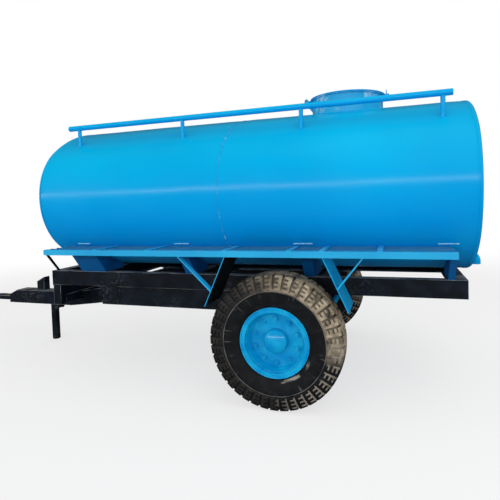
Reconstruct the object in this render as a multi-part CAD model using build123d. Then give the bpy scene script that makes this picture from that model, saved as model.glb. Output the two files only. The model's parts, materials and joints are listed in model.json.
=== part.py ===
from build123d import *
from math import hypot, sqrt
import os

os.makedirs("parts", exist_ok=True)

# A single-axle water tank trailer for a farm tractor, parked on its folding leg.
# Millimetres. X runs from the towing eye to the rear and starts at the axle, Y runs from the
# left side to the right side, and Z is up from the floor.

# Gaps between pieces
WELD_GAP = 0.3
RUN_GAP = 0.3
SWING_GAP = 6.0

# Tyres and wheels
TRACK = 1734
TYRE_DIAMETER = 890
TYRE_WIDTH = 240
TYRE_WALL = 18
TREAD_WIDTH = 208
TREAD_CROWN = 7
RIM_SEAT_DIAMETER = 406
RIM_FLANGE_HEIGHT = 28
RIM_WIDTH = 186
RIM_SHEET = 7
RIM_WELL_DEPTH = 17
DISC_SHEET = 10
DISC_OUTBOARD = 28
BOWL_OUTBOARD = 78
HUB_FLANGE_DIAMETER = 344
HUB_FLANGE_THICKNESS = 14
HUB_BODY_DIAMETER = 154
HUB_INBOARD = 96
HUB_CAP_DEPTH = 62
HUB_CAP_CROWN = 26
SPINDLE_DIAMETER = 60

# Axle, its seats and clamps
AXLE_SQUARE = 90
SEAT_HEIGHT = 40
SEAT_LENGTH = 160
CLAMP_THICKNESS = 14
CLAMP_BOLT_DIAMETER = 16
CLAMP_BOLT_MARGIN = 18

# Chassis
CHASSIS_WIDTH = 1100
CHASSIS_AHEAD = 2100
CHASSIS_BEHIND = 1190
RAIL_HEIGHT = 125
RAIL_FLANGE = 65
RAIL_WEB = 6
RAIL_FLANGE_THICKNESS = 8
BEAM_HEIGHT = 150
BEAM_FLANGE = 75
BEAM_AHEAD = 1600
BEAM_BEHIND = 340
BEAM_HEEL = 90
CROSS_FLANGE = 65
POST_LENGTH = 175
POST_WIDTH = 75
LOWER_CROSS_HEIGHT = 75

# Drawbar
DRAWBAR_WIDTH = 140
DRAWBAR_HEIGHT = 134
DRAWBAR_WALL = 8
DRAWBAR_AHEAD = 3120
DRAWBAR_BEHIND_FRONT = 230
NOSE_SLOPE_LENGTH = 100
NOSE_FACE_HEIGHT = 84
ARM_WIDTH = 60
ARM_HEIGHT = 125
ARM_SPLIT = 20
EYE_REACH = 222
EYE_THICKNESS = 40
EYE_ABOVE = 22
EYE_WIDTH = 110
EYE_BORE = 51
UPRIGHT_AHEAD = 2735
UPRIGHT_LENGTH = 90
UPRIGHT_WIDTH = 80
UPRIGHT_HEIGHT = 138
UPRIGHT_BEVEL = 48

# Parking leg
LEG_AHEAD = 2600
LEG_DIAMETER = 75
LEG_WALL = 5
LEG_FOOT_THICKNESS = 12
LEG_FOOT_ROUND = 9
LEG_PIN_BEHIND = 55
LEG_PIN_DROP = 32
LEG_PIN_DIAMETER = 20
LEG_BARREL_DIAMETER = 36
LEG_BARREL_WIDTH = 60
LEG_STRAP_THICKNESS = 26
LEG_LUG_THICKNESS = 12
LEG_LUG_WIDTH = 48
LEG_LUG_SPACING = 70

# Tank
TANK_WIDTH = 1716
TANK_HEIGHT = 1220
TANK_END_RADIUS = 480
TANK_AHEAD = 1906
TANK_BEHIND = 1212
TANK_SEAM_AHEAD = 400
TANK_WALL = 5
TANK_ABOVE_RAILS = 8
HEAD_SKIRT = 18
HEAD_CROWN = 44
HEAD_KNUCKLE = 24

# Saddles under the tank
SADDLE_INNER = 300
CRADLE_WIDTH = 80

# Manhole
MANHOLE_BEHIND = 401
COLLAR_DIAMETER = 550
COLLAR_HEIGHT = 116
COLLAR_WALL = 6
COLLAR_RIM = 12
COLLAR_RIM_THICKNESS = 8
LID_OVERHANG = 4
LID_SHEET = 5
LID_CROWN = 44
LID_BRIM = 26
LID_KNOB_DIAMETER = 36
LID_KNOB_HEIGHT = 18
LID_HINGE_REACH = 30
LID_PIN_DIAMETER = 16
LID_BARREL_DIAMETER = 32
LID_BARREL_WIDTH = 54
LID_STRAP_THICKNESS = 8
LID_LUG_THICKNESS = 10
LID_LUG_DEPTH = 74
HASP_THICKNESS = 8
HASP_WIDTH = 26
HASP_RISE = 40
HASP_PLATE_THICKNESS = 6
HASP_MARGIN = 10

# Handrails on the tank's shoulders
HANDRAIL_SPACING = 1210
HANDRAIL_HEIGHT = 1997
HANDRAIL_DIAMETER = 42
HANDRAIL_WALL = 3
HANDRAIL_AHEAD = 1796
HANDRAIL_BEHIND = 1104
HANDRAIL_POST_DIAMETER = 30

# Walkways
WALK_AHEAD = 1790
WALK_BEHIND = 1080
WALK_WIDTH_OVERALL = 1940
WALK_BAR = 40
WALK_UNDERSIDE = 995
WALK_ROD = 16
WALK_ROD_COUNT = 3
WALK_CROSS_WIDTH = 36
WALK_CROSS_HEIGHT = 18
STAY_DIAMETER = 20
STAY_FOOT_BEHIND_FRONT = 40

# Splash flaps before and behind each wheel
FLAP_TOP_X = 318
FLAP_FOOT_X = 470
FLAP_FOOT_Z = 660
FLAP_SHEET = 6
FLAP_INSET = 4
FLAP_WIDTH = 286
STRUT_WIDTH = 45
STRUT_THICKNESS = 9
STRUT_FOOT_THICKNESS = 12

# Rear outlet
OUTLET_DIAMETER = 60.3
OUTLET_WALL = 3.9
OUTLET_ABOVE_BOTTOM = 90
OUTLET_STUB = 65
OUTLET_BEND_RADIUS = 46
OUTLET_DROP = 24

# Saddles and cross-members by their middle along X: (middle, length of the saddle)
SADDLES = [(-1666, 240), (-768, CRADLE_WIDTH), (168, CRADLE_WIDTH), (1090, CRADLE_WIDTH / 2)]
# Middle of each cross-member along X, between the two end ones
CROSS_MEMBERS = [-1666, -768, 168]
# Handrail posts along X
HANDRAIL_POSTS = [-1700, -765, 143, 1045]
# Cross bars of a walkway along X, between its two end bars
WALK_CROSS_BARS = [-1330, -900, -FLAP_TOP_X, 110, FLAP_TOP_X, 660]
# Flaps of one wheel: (way from the axle along X, top of its strut from the axle, foot of its strut)
FLAPS = [(-1, 660, 760), (1, 556, 800)]

SIDES = {"left": -1, "right": 1}

# Levels and places that follow from the sizes above
AXLE_Z = TYRE_DIAMETER / 2
SEAT_TOP = AXLE_Z + AXLE_SQUARE / 2 + SEAT_HEIGHT
RAIL_BOTTOM = SEAT_TOP + BEAM_HEIGHT
RAIL_TOP = RAIL_BOTTOM + RAIL_HEIGHT
RAIL_OUTER = CHASSIS_WIDTH / 2
DRAWBAR_TOP = RAIL_BOTTOM - POST_LENGTH
DRAWBAR_BOTTOM = DRAWBAR_TOP - DRAWBAR_HEIGHT
DRAWBAR_REAR = -CHASSIS_AHEAD - DRAWBAR_BEHIND_FRONT
TANK_BOTTOM = RAIL_TOP + TANK_ABOVE_RAILS
TANK_Z = TANK_BOTTOM + TANK_HEIGHT / 2
TANK_TOP = TANK_BOTTOM + TANK_HEIGHT
WALK_TOP = WALK_UNDERSIDE + WALK_BAR
WALK_OUTER = WALK_WIDTH_OVERALL / 2

nodes = {}


def block(x, y, z):
    """A box between a low and a high face along each axis."""
    spans = (x, y, z)
    size = [high - low for low, high in spans]
    middle = [(low + high) / 2 for low, high in spans]
    return Pos(*middle) * Box(*size)


def across(side, inner, outer):
    """The low and high Y of a piece on one side, from its distances to the middle."""
    return tuple(sorted((side * inner, side * outer)))


def rod(start, end, diameter):
    """A round bar from one point to another."""
    run = Vector(*end) - Vector(*start)
    return Solid.make_cylinder(diameter / 2, run.length, Plane(origin=start, z_dir=run))


def side_plate(points, y):
    """A plate whose outline is given in X and Z, between two faces across the trailer."""
    outline = Polyline([(px, y[0], pz) for px, pz in points], close=True)
    return extrude(make_face(outline), amount=y[1] - y[0], dir=(0, 1, 0))


def cross_plate(points, x):
    """A plate whose outline is given in Y and Z, between two faces along the trailer."""
    outline = Polyline([(x[0], py, pz) for py, pz in points], close=True)
    return extrude(make_face(outline), amount=x[1] - x[0], dir=(1, 0, 0))


def pin_lug(centre, root, y, width, bore):
    """A lug that hangs or stands from a root line and is rounded about its pin's bore."""
    pin_x, pin_z = centre
    low, high = sorted((pin_z, root))
    body = block((pin_x - width / 2, pin_x + width / 2), y, (low, high))
    body += rod((pin_x, y[0], pin_z), (pin_x, y[1], pin_z), width)
    return body - rod((pin_x, y[0], pin_z), (pin_x, y[1], pin_z), bore)


# Tank section: four arcs of two radii that meet without a corner
ROOF_RADIUS = ((TANK_WIDTH / 2 - TANK_END_RADIUS) ** 2 + (TANK_HEIGHT / 2) ** 2 - TANK_END_RADIUS**2) / (
    TANK_HEIGHT - 2 * TANK_END_RADIUS
)
END_CENTRE = TANK_WIDTH / 2 - TANK_END_RADIUS
ROOF_CENTRE = ROOF_RADIUS - TANK_HEIGHT / 2
MEET_Y = END_CENTRE / hypot(END_CENTRE, ROOF_CENTRE)
MEET_Z = ROOF_CENTRE / hypot(END_CENTRE, ROOF_CENTRE)


def tank_section(x, inset):
    """The tank's oval section at X, its outline moved inwards by inset."""
    end_radius = TANK_END_RADIUS - inset
    meet_y = END_CENTRE + end_radius * MEET_Y
    meet_z = end_radius * MEET_Z
    wide = END_CENTRE + end_radius
    tall = ROOF_RADIUS - inset - ROOF_CENTRE
    corners = [(-meet_y, meet_z), (meet_y, meet_z), (meet_y, -meet_z), (-meet_y, -meet_z)]
    crests = [(0, tall), (wide, 0), (0, -tall), (-wide, 0)]
    arcs = []
    for number, crest in enumerate(crests):
        start = corners[number]
        end = corners[(number + 1) % len(corners)]
        arcs.append(ThreePointArc(*[(x, py, TANK_Z + pz) for py, pz in (start, crest, end)]))
    return make_face(arcs)


def tank_prism(x, inset):
    """The oval section carried from one X to another."""
    return extrude(tank_section(x[0], inset), amount=x[1] - x[0], dir=(1, 0, 0))


def tank_half_width(z):
    """Half the tank's outside width at a height in its lower roof arc."""
    return sqrt(ROOF_RADIUS**2 - (TANK_Z + ROOF_CENTRE - z) ** 2)


def head_form(end, way, inset):
    """The solid form of a domed tank end, its surface moved inwards by inset."""
    half_width = TANK_WIDTH / 2
    dome_radius = (half_width**2 + HEAD_CROWN**2) / (2 * HEAD_CROWN)
    tip = end + way * (HEAD_SKIRT + HEAD_CROWN)
    prism = tank_prism(tuple(sorted((end, tip))), inset)
    dome = Pos(tip - way * dome_radius, 0, TANK_Z) * Sphere(dome_radius - inset)
    form = prism & dome
    brow = [edge for edge in form.edges() if abs(edge.center().X - end) > HEAD_SKIRT / 2]
    rim = [edge for edge in brow if edge.length > HEAD_KNUCKLE]
    return fillet(rim, HEAD_KNUCKLE - inset)


# Tank shell in two rolled courses with a domed end on each
course_ends = {"tank_front_course": (-TANK_AHEAD, -TANK_SEAM_AHEAD)}
course_ends["tank_rear_course"] = (-TANK_SEAM_AHEAD, TANK_BEHIND)
manhole_bore = COLLAR_DIAMETER - 2 * COLLAR_WALL
manhole_cut = rod((MANHOLE_BEHIND, 0, TANK_Z), (MANHOLE_BEHIND, 0, TANK_TOP + COLLAR_HEIGHT), manhole_bore)
for name, span in course_ends.items():
    course = tank_prism(span, 0) - tank_prism(span, TANK_WALL)
    nodes[name] = course - manhole_cut if span[0] < MANHOLE_BEHIND < span[1] else course

outlet_z = TANK_BOTTOM + OUTLET_ABOVE_BOTTOM
outlet_bore = OUTLET_DIAMETER - 2 * OUTLET_WALL
rear_tip = TANK_BEHIND + HEAD_SKIRT + HEAD_CROWN
outlet_drill = rod((TANK_BEHIND, 0, outlet_z), (rear_tip, 0, outlet_z), outlet_bore)
nodes["tank_front_head"] = head_form(-TANK_AHEAD, -1, 0) - head_form(-TANK_AHEAD, -1, TANK_WALL)
nodes["tank_rear_head"] = head_form(TANK_BEHIND, 1, 0) - head_form(TANK_BEHIND, 1, TANK_WALL) - outlet_drill

# Outlet elbow at the foot of the rear head, its mouth to the floor
bend_start = TANK_BEHIND + OUTLET_STUB
outlet_x = bend_start + OUTLET_BEND_RADIUS
bend_centre = (bend_start, 0, outlet_z - OUTLET_BEND_RADIUS)
mouth_z = outlet_z - OUTLET_BEND_RADIUS - OUTLET_DROP


def elbow(diameter):
    """The outlet's stub, bend and short fall as one round form."""
    section = Plane((bend_start, 0, outlet_z), x_dir=(0, 1, 0), z_dir=(1, 0, 0)) * Circle(diameter / 2)
    form = revolve(section, Axis(bend_centre, (0, 1, 0)), 90)
    form += rod((TANK_BEHIND, 0, outlet_z), (bend_start, 0, outlet_z), diameter)
    return form + rod((outlet_x, 0, mouth_z), (outlet_x, 0, outlet_z - OUTLET_BEND_RADIUS), diameter)


nodes["outlet_elbow"] = elbow(OUTLET_DIAMETER) - elbow(outlet_bore) - head_form(TANK_BEHIND, 1, -WELD_GAP)

# Manhole collar, coped to the shell, with a rim that the lid shuts on
seat_z = TANK_TOP + COLLAR_HEIGHT
rim_diameter = COLLAR_DIAMETER + 2 * COLLAR_RIM
collar = rod((MANHOLE_BEHIND, 0, TANK_Z), (MANHOLE_BEHIND, 0, seat_z), COLLAR_DIAMETER)
collar += rod((MANHOLE_BEHIND, 0, seat_z - COLLAR_RIM_THICKNESS), (MANHOLE_BEHIND, 0, seat_z), rim_diameter)
collar_reach = (MANHOLE_BEHIND - COLLAR_DIAMETER, MANHOLE_BEHIND + COLLAR_DIAMETER)
nodes["manhole_collar"] = collar - manhole_cut - tank_prism(collar_reach, -WELD_GAP)

# Lid hinge: two lugs on the collar's front side, a pin, and a strap with a barrel on the lid
lid_radius = rim_diameter / 2 + LID_OVERHANG
lid_z = seat_z + WELD_GAP
lid_pin_x = MANHOLE_BEHIND - lid_radius - LID_HINGE_REACH
lid_pin_z = lid_z + LID_SHEET
lid_lug_inner = LID_BARREL_WIDTH / 2 + SWING_GAP
lid_lug_outer = lid_lug_inner + LID_LUG_THICKNESS
lug_root_x = MANHOLE_BEHIND - sqrt((COLLAR_DIAMETER / 2 + WELD_GAP) ** 2 - lid_lug_inner**2)
lug_shoulder_x = MANHOLE_BEHIND - lid_radius - SWING_GAP
lug_shoulder_z = seat_z - COLLAR_RIM_THICKNESS - SWING_GAP
lug_half = LID_BARREL_DIAMETER / 2
lid_lug_outline = [
    (lug_root_x, lug_shoulder_z - LID_LUG_DEPTH),
    (lug_root_x, lug_shoulder_z),
    (lug_shoulder_x, lug_shoulder_z),
    (lug_shoulder_x, lid_pin_z),
    (lid_pin_x - lug_half, lid_pin_z),
    (lid_pin_x - lug_half, lug_shoulder_z),
]
lid_bore = rod((lid_pin_x, -lid_lug_outer, lid_pin_z), (lid_pin_x, lid_lug_outer, lid_pin_z), LID_PIN_DIAMETER + 2 * RUN_GAP)
lid_lugs = []
for side in SIDES.values():
    lug_y = across(side, lid_lug_inner, lid_lug_outer)
    lug = side_plate(lid_lug_outline, lug_y)
    lug += rod((lid_pin_x, lug_y[0], lid_pin_z), (lid_pin_x, lug_y[1], lid_pin_z), LID_BARREL_DIAMETER)
    lid_lugs.append(lug - lid_bore)
nodes["lid_hinge_lugs"] = lid_lugs
nodes["lid_hinge_pin"] = rod((lid_pin_x, -lid_lug_outer, lid_pin_z), (lid_pin_x, lid_lug_outer, lid_pin_z), LID_PIN_DIAMETER)

# Hasp: an upright flat on the collar's rear side that comes up through a slot in the lid's tongue
hasp_x = MANHOLE_BEHIND + lid_radius + SWING_GAP
hasp_span = (hasp_x, hasp_x + HASP_THICKNESS)
hasp_y = (-HASP_WIDTH / 2, HASP_WIDTH / 2)
hasp_foot = seat_z - COLLAR_RIM_THICKNESS - LID_LUG_DEPTH / 2
hasp_root = MANHOLE_BEHIND + COLLAR_DIAMETER / 2 + WELD_GAP
hasp = block(hasp_span, hasp_y, (hasp_foot, lid_z + HASP_RISE))
hasp += block((hasp_root, hasp_span[1]), hasp_y, (hasp_foot, hasp_foot + HASP_THICKNESS))
nodes["lid_hasp"] = hasp

# Domed lid with its strap, tongue and knob
brim_radius = lid_radius - LID_BRIM
crown_radius = (brim_radius**2 + LID_CROWN**2) / (2 * LID_CROWN)
crown_mid_z = sqrt(crown_radius**2 - (brim_radius / 2) ** 2) - (crown_radius - LID_CROWN)
lid_profile = [
    ThreePointArc((0, 0, LID_CROWN), (brim_radius / 2, 0, crown_mid_z), (brim_radius, 0, 0)),
    Polyline((brim_radius, 0, 0), (lid_radius, 0, 0), (lid_radius, 0, LID_SHEET), (brim_radius, 0, LID_SHEET)),
    ThreePointArc(
        (brim_radius, 0, LID_SHEET),
        (brim_radius / 2, 0, crown_mid_z + LID_SHEET),
        (0, 0, LID_CROWN + LID_SHEET),
    ),
    Line((0, 0, LID_CROWN + LID_SHEET), (0, 0, LID_CROWN)),
]
lid = Pos(MANHOLE_BEHIND, 0, lid_z) * revolve(make_face(lid_profile), Axis.Z, 360)
strap_y = (-LID_BARREL_WIDTH / 2, LID_BARREL_WIDTH / 2)
strap_z = (lid_z, lid_z + LID_STRAP_THICKNESS)
lid += block((lid_pin_x, MANHOLE_BEHIND - brim_radius), strap_y, strap_z)
lid += rod((lid_pin_x, strap_y[0], lid_pin_z), (lid_pin_x, strap_y[1], lid_pin_z), LID_BARREL_DIAMETER)
lid -= lid_bore
tongue_end = hasp_span[1] + SWING_GAP + HASP_MARGIN
tongue_half = HASP_WIDTH / 2 + SWING_GAP + HASP_MARGIN
tongue_z = (lid_z, lid_z + HASP_PLATE_THICKNESS)
tongue = block((MANHOLE_BEHIND + brim_radius, tongue_end), (-tongue_half, tongue_half), tongue_z)
slot_y = (hasp_y[0] - SWING_GAP, hasp_y[1] + SWING_GAP)
lid += tongue - block((hasp_span[0] - SWING_GAP, hasp_span[1] + SWING_GAP), slot_y, tongue_z)
knob_z = lid_z + LID_CROWN
nodes["manhole_lid"] = lid + rod(
    (MANHOLE_BEHIND, 0, knob_z), (MANHOLE_BEHIND, 0, knob_z + LID_SHEET + LID_KNOB_HEIGHT), LID_KNOB_DIAMETER
)

# Handrails: a pipe along each shoulder on round posts coped to pipe and tank
tank_clear = tank_prism((-TANK_AHEAD, TANK_BEHIND), -WELD_GAP)
for name, side in SIDES.items():
    rail_y = side * HANDRAIL_SPACING / 2
    rail_line = [(-HANDRAIL_AHEAD, rail_y, HANDRAIL_HEIGHT), (HANDRAIL_BEHIND, rail_y, HANDRAIL_HEIGHT)]
    pipe = rod(*rail_line, HANDRAIL_DIAMETER) - rod(*rail_line, HANDRAIL_DIAMETER - 2 * HANDRAIL_WALL)
    pipe_clear = rod(*rail_line, HANDRAIL_DIAMETER + 2 * WELD_GAP)
    posts = []
    for x in HANDRAIL_POSTS:
        post = rod((x, rail_y, TANK_Z), (x, rail_y, HANDRAIL_HEIGHT), HANDRAIL_POST_DIAMETER)
        posts.append(post - tank_clear - pipe_clear)
    nodes[f"handrail_{name}"] = pipe
    nodes[f"handrail_posts_{name}"] = posts

# Chassis rails with their webs outside, and cross-members coped into them
rails = {}
for name, side in SIDES.items():
    rail_x = (-CHASSIS_AHEAD, CHASSIS_BEHIND)
    rail = block(rail_x, across(side, RAIL_OUTER - RAIL_FLANGE, RAIL_OUTER), (RAIL_BOTTOM, RAIL_TOP))
    hollow_z = (RAIL_BOTTOM + RAIL_FLANGE_THICKNESS, RAIL_TOP - RAIL_FLANGE_THICKNESS)
    rail -= block(rail_x, across(side, RAIL_OUTER - RAIL_FLANGE, RAIL_OUTER - RAIL_WEB), hollow_z)
    rails[name] = rail
    nodes[f"chassis_rail_{name}"] = rail

cross_starts = [(-CHASSIS_AHEAD, 1)]
cross_starts += [(middle - CROSS_FLANGE / 2, 1) for middle in CROSS_MEMBERS]
cross_starts += [(CHASSIS_BEHIND, -1)]
cross_half = RAIL_OUTER - RAIL_WEB
cross_members = []
for start, way in cross_starts:
    cross_x = tuple(sorted((start, start + way * CROSS_FLANGE)))
    hollow_x = tuple(sorted((start + way * RAIL_WEB, start + way * CROSS_FLANGE)))
    hollow_z = (RAIL_BOTTOM + RAIL_FLANGE_THICKNESS, RAIL_TOP - RAIL_FLANGE_THICKNESS)
    member = block(cross_x, (-cross_half, cross_half), (RAIL_BOTTOM, RAIL_TOP))
    member -= block(hollow_x, (-cross_half, cross_half), hollow_z)
    cross_members.append(member - rails["left"] - rails["right"])
nodes["cross_members"] = cross_members

# Saddles: shaped plates between rail and tank that also carry the walkway's inner bar
walk_inner = tank_half_width(WALK_TOP) + WELD_GAP
saddle_outline = [
    (SADDLE_INNER, RAIL_TOP),
    (RAIL_OUTER, RAIL_TOP),
    (walk_inner + WALK_BAR, WALK_UNDERSIDE),
    (SADDLE_INNER, WALK_UNDERSIDE),
]
for name, side in SIDES.items():
    outline = [(side * py, pz) for py, pz in saddle_outline]
    saddles = []
    for middle, length in SADDLES:
        saddles.append(cross_plate(outline, (middle - length / 2, middle + length / 2)) - tank_clear)
    nodes[f"saddles_{name}"] = saddles

# Lower beams under the rails, from the drawbar's arms to just behind the axle
for name, side in SIDES.items():
    beam_y = across(side, RAIL_OUTER - BEAM_FLANGE, RAIL_OUTER)
    beam_outline = [
        (-BEAM_AHEAD, RAIL_BOTTOM),
        (BEAM_BEHIND, RAIL_BOTTOM),
        (BEAM_BEHIND - BEAM_HEEL, SEAT_TOP),
        (-BEAM_AHEAD, SEAT_TOP),
    ]
    beam = side_plate(beam_outline, beam_y)
    hollow_z = (SEAT_TOP + RAIL_FLANGE_THICKNESS, RAIL_BOTTOM - RAIL_FLANGE_THICKNESS)
    hollow_y = across(side, RAIL_OUTER - BEAM_FLANGE, RAIL_OUTER - RAIL_WEB)
    nodes[f"lower_beam_{name}"] = beam - block((-BEAM_AHEAD, BEAM_BEHIND), hollow_y, hollow_z)

# Drawbar: a closed box nose with a sloping brow, and two arms that splay to the lower beams
nose_outline = [
    (-DRAWBAR_AHEAD, DRAWBAR_BOTTOM),
    (DRAWBAR_REAR, DRAWBAR_BOTTOM),
    (DRAWBAR_REAR, DRAWBAR_TOP),
    (NOSE_SLOPE_LENGTH - DRAWBAR_AHEAD, DRAWBAR_TOP),
    (-DRAWBAR_AHEAD, DRAWBAR_BOTTOM + NOSE_FACE_HEIGHT),
]
nose_half = DRAWBAR_WIDTH / 2
nose_hollow_x = (NOSE_SLOPE_LENGTH - DRAWBAR_AHEAD, DRAWBAR_REAR)
nose_hollow_y = (DRAWBAR_WALL - nose_half, nose_half - DRAWBAR_WALL)
nose_hollow_z = (DRAWBAR_BOTTOM + DRAWBAR_WALL, DRAWBAR_TOP - DRAWBAR_WALL)
nodes["drawbar_nose"] = side_plate(nose_outline, (-nose_half, nose_half)) - block(
    nose_hollow_x, nose_hollow_y, nose_hollow_z
)

arms = {}
for name, side in SIDES.items():
    arm_y = across(side, ARM_SPLIT / 2, ARM_SPLIT / 2 + ARM_WIDTH)
    arm_z = (DRAWBAR_BOTTOM, DRAWBAR_BOTTOM + ARM_HEIGHT)
    arm_section = [(arm_y[0], arm_z[0]), (arm_y[1], arm_z[0]), (arm_y[1], arm_z[1]), (arm_y[0], arm_z[1])]
    front = Polyline([(DRAWBAR_REAR, py, pz) for py, pz in arm_section], close=True)
    spread = side * (RAIL_OUTER - ARM_WIDTH - ARM_SPLIT / 2)
    rise = SEAT_TOP + (BEAM_HEIGHT - ARM_HEIGHT) / 2 - DRAWBAR_BOTTOM
    run = Vector(-BEAM_AHEAD - DRAWBAR_REAR, spread, rise)
    arms[name] = extrude(make_face(front), amount=run.length, dir=run.normalized())
    nodes[f"drawbar_arm_{name}"] = arms[name]

# Posts that carry the rails' front ends, tied by a lower cross-member notched over the arms
post_x = (-CHASSIS_AHEAD, POST_WIDTH - CHASSIS_AHEAD)
post_z = (RAIL_BOTTOM - POST_LENGTH, RAIL_BOTTOM)
post_inner = RAIL_OUTER - RAIL_FLANGE
nodes["front_posts"] = [block(post_x, across(side, post_inner, RAIL_OUTER), post_z) for side in SIDES.values()]
tie = block(post_x, (-post_inner, post_inner), (post_z[0], post_z[0] + LOWER_CROSS_HEIGHT))
nodes["lower_cross_member"] = tie - arms["left"] - arms["right"]

# Towing eye, a thick plate butted to the nose and rounded about its bore
eye_z = DRAWBAR_BOTTOM + EYE_ABOVE
eye_span_z = (eye_z, eye_z + EYE_THICKNESS)
eye_x = -DRAWBAR_AHEAD - EYE_REACH
eye = block((eye_x, -DRAWBAR_AHEAD), (-EYE_WIDTH / 2, EYE_WIDTH / 2), eye_span_z)
eye += rod((eye_x, 0, eye_span_z[0]), (eye_x, 0, eye_span_z[1]), EYE_WIDTH)
nodes["hitch_eye"] = eye - rod((eye_x, 0, eye_span_z[0]), (eye_x, 0, eye_span_z[1]), EYE_BORE)

# Upright on the drawbar with a bevelled front corner
upright_x = (-UPRIGHT_AHEAD - UPRIGHT_LENGTH / 2, UPRIGHT_LENGTH / 2 - UPRIGHT_AHEAD)
upright_outline = [
    (upright_x[0], DRAWBAR_TOP),
    (upright_x[1], DRAWBAR_TOP),
    (upright_x[1], DRAWBAR_TOP + UPRIGHT_HEIGHT),
    (upright_x[0], DRAWBAR_TOP + UPRIGHT_HEIGHT - UPRIGHT_BEVEL),
]
nodes["drawbar_upright"] = side_plate(upright_outline, (-UPRIGHT_WIDTH / 2, UPRIGHT_WIDTH / 2))

# Parking leg: a pipe whose head butts on the drawbar, hinged on a pin behind it
leg_pin_x = LEG_PIN_BEHIND - LEG_AHEAD
leg_pin_z = DRAWBAR_BOTTOM - LEG_PIN_DROP
leg_top = DRAWBAR_BOTTOM - WELD_GAP
leg_pin_hole = LEG_PIN_DIAMETER + 2 * RUN_GAP
lug_outer = LEG_LUG_SPACING / 2 + LEG_LUG_THICKNESS
leg_lugs = []
for side in SIDES.values():
    lug_y = across(side, LEG_LUG_SPACING / 2, lug_outer)
    leg_lugs.append(pin_lug((leg_pin_x, leg_pin_z), DRAWBAR_BOTTOM, lug_y, LEG_LUG_WIDTH, leg_pin_hole))
nodes["leg_lugs"] = leg_lugs
leg_pin_line = [(leg_pin_x, -lug_outer, leg_pin_z), (leg_pin_x, lug_outer, leg_pin_z)]
nodes["leg_pin"] = rod(*leg_pin_line, LEG_PIN_DIAMETER)
leg = rod((-LEG_AHEAD, 0, 0), (-LEG_AHEAD, 0, leg_top), LEG_DIAMETER)
leg = fillet(leg.edges().sort_by(Axis.Z)[0], LEG_FOOT_ROUND)
barrel_y = (-LEG_BARREL_WIDTH / 2, LEG_BARREL_WIDTH / 2)
strap_z = (leg_pin_z - LEG_STRAP_THICKNESS / 2, leg_pin_z + LEG_STRAP_THICKNESS / 2)
leg += block((-LEG_AHEAD, leg_pin_x), (barrel_y[0] / 2, barrel_y[1] / 2), strap_z)
leg += rod((leg_pin_x, barrel_y[0], leg_pin_z), (leg_pin_x, barrel_y[1], leg_pin_z), LEG_BARREL_DIAMETER)
leg -= rod(*leg_pin_line, leg_pin_hole)
leg_inside = (-LEG_AHEAD, 0, LEG_FOOT_THICKNESS), (-LEG_AHEAD, 0, leg_top)
nodes["parking_leg"] = leg - rod(*leg_inside, LEG_DIAMETER - 2 * LEG_WALL)

# Axle: a square beam with a round spindle at each end
hub_inner = TRACK / 2 - HUB_INBOARD
axle_half = hub_inner - SWING_GAP
spindle_end = TRACK / 2 + DISC_OUTBOARD
axle_z = (AXLE_Z - AXLE_SQUARE / 2, AXLE_Z + AXLE_SQUARE / 2)
axle = block((-AXLE_SQUARE / 2, AXLE_SQUARE / 2), (-axle_half, axle_half), axle_z)
nodes["axle"] = axle + rod((0, -spindle_end, AXLE_Z), (0, spindle_end, AXLE_Z), SPINDLE_DIAMETER)

# Axle seats under the lower beams, and clamp plates below the axle with their four bolts each
seat_x = (-SEAT_LENGTH / 2, SEAT_LENGTH / 2)
seats = []
clamps = []
for side in SIDES.values():
    seat_y = across(side, RAIL_OUTER - BEAM_FLANGE, RAIL_OUTER)
    seats.append(block(seat_x, seat_y, (axle_z[1], SEAT_TOP)))
    clamp = block(seat_x, seat_y, (axle_z[0] - CLAMP_THICKNESS, axle_z[0]))
    for bolt_x in (seat_x[0] + CLAMP_BOLT_MARGIN, seat_x[1] - CLAMP_BOLT_MARGIN):
        for bolt_y in (seat_y[0] + CLAMP_BOLT_MARGIN, seat_y[1] - CLAMP_BOLT_MARGIN):
            clamp += rod((bolt_x, bolt_y, axle_z[0]), (bolt_x, bolt_y, axle_z[1]), CLAMP_BOLT_DIAMETER)
    clamps.append(clamp)
nodes["axle_seats"] = seats
nodes["axle_clamps"] = clamps

# Wheels, drawn about the axle line with outboard positive and then set at each side
tyre_radius = TYRE_DIAMETER / 2
seat_radius = RIM_SEAT_DIAMETER / 2
flange_radius = seat_radius + RIM_FLANGE_HEIGHT
rim_half = RIM_WIDTH / 2
rim_edge = rim_half + RIM_SHEET
well_radius = seat_radius - RIM_WELL_DEPTH
tyre_half = TYRE_WIDTH / 2
tread_half = TREAD_WIDTH / 2
shoulder_radius = tyre_radius - TREAD_CROWN
bulge_radius = (shoulder_radius + flange_radius) / 2
bead_half = rim_half - WELD_GAP
bead_radius = seat_radius + WELD_GAP
clinch_radius = flange_radius + SWING_GAP
hub_flange_y = DISC_OUTBOARD - DISC_SHEET
nut_flat_radius = HUB_FLANGE_DIAMETER / 2
hub_radius = HUB_BODY_DIAMETER / 2


def turned(edges, side):
    """A ring or disc from its half section, given as radius and outboard distance."""
    form = revolve(make_face(edges), Axis.Y, 360)
    if side < 0:
        form = mirror(form, Plane.XZ)
    return Pos(0, side * TRACK / 2, AXLE_Z) * form


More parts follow.
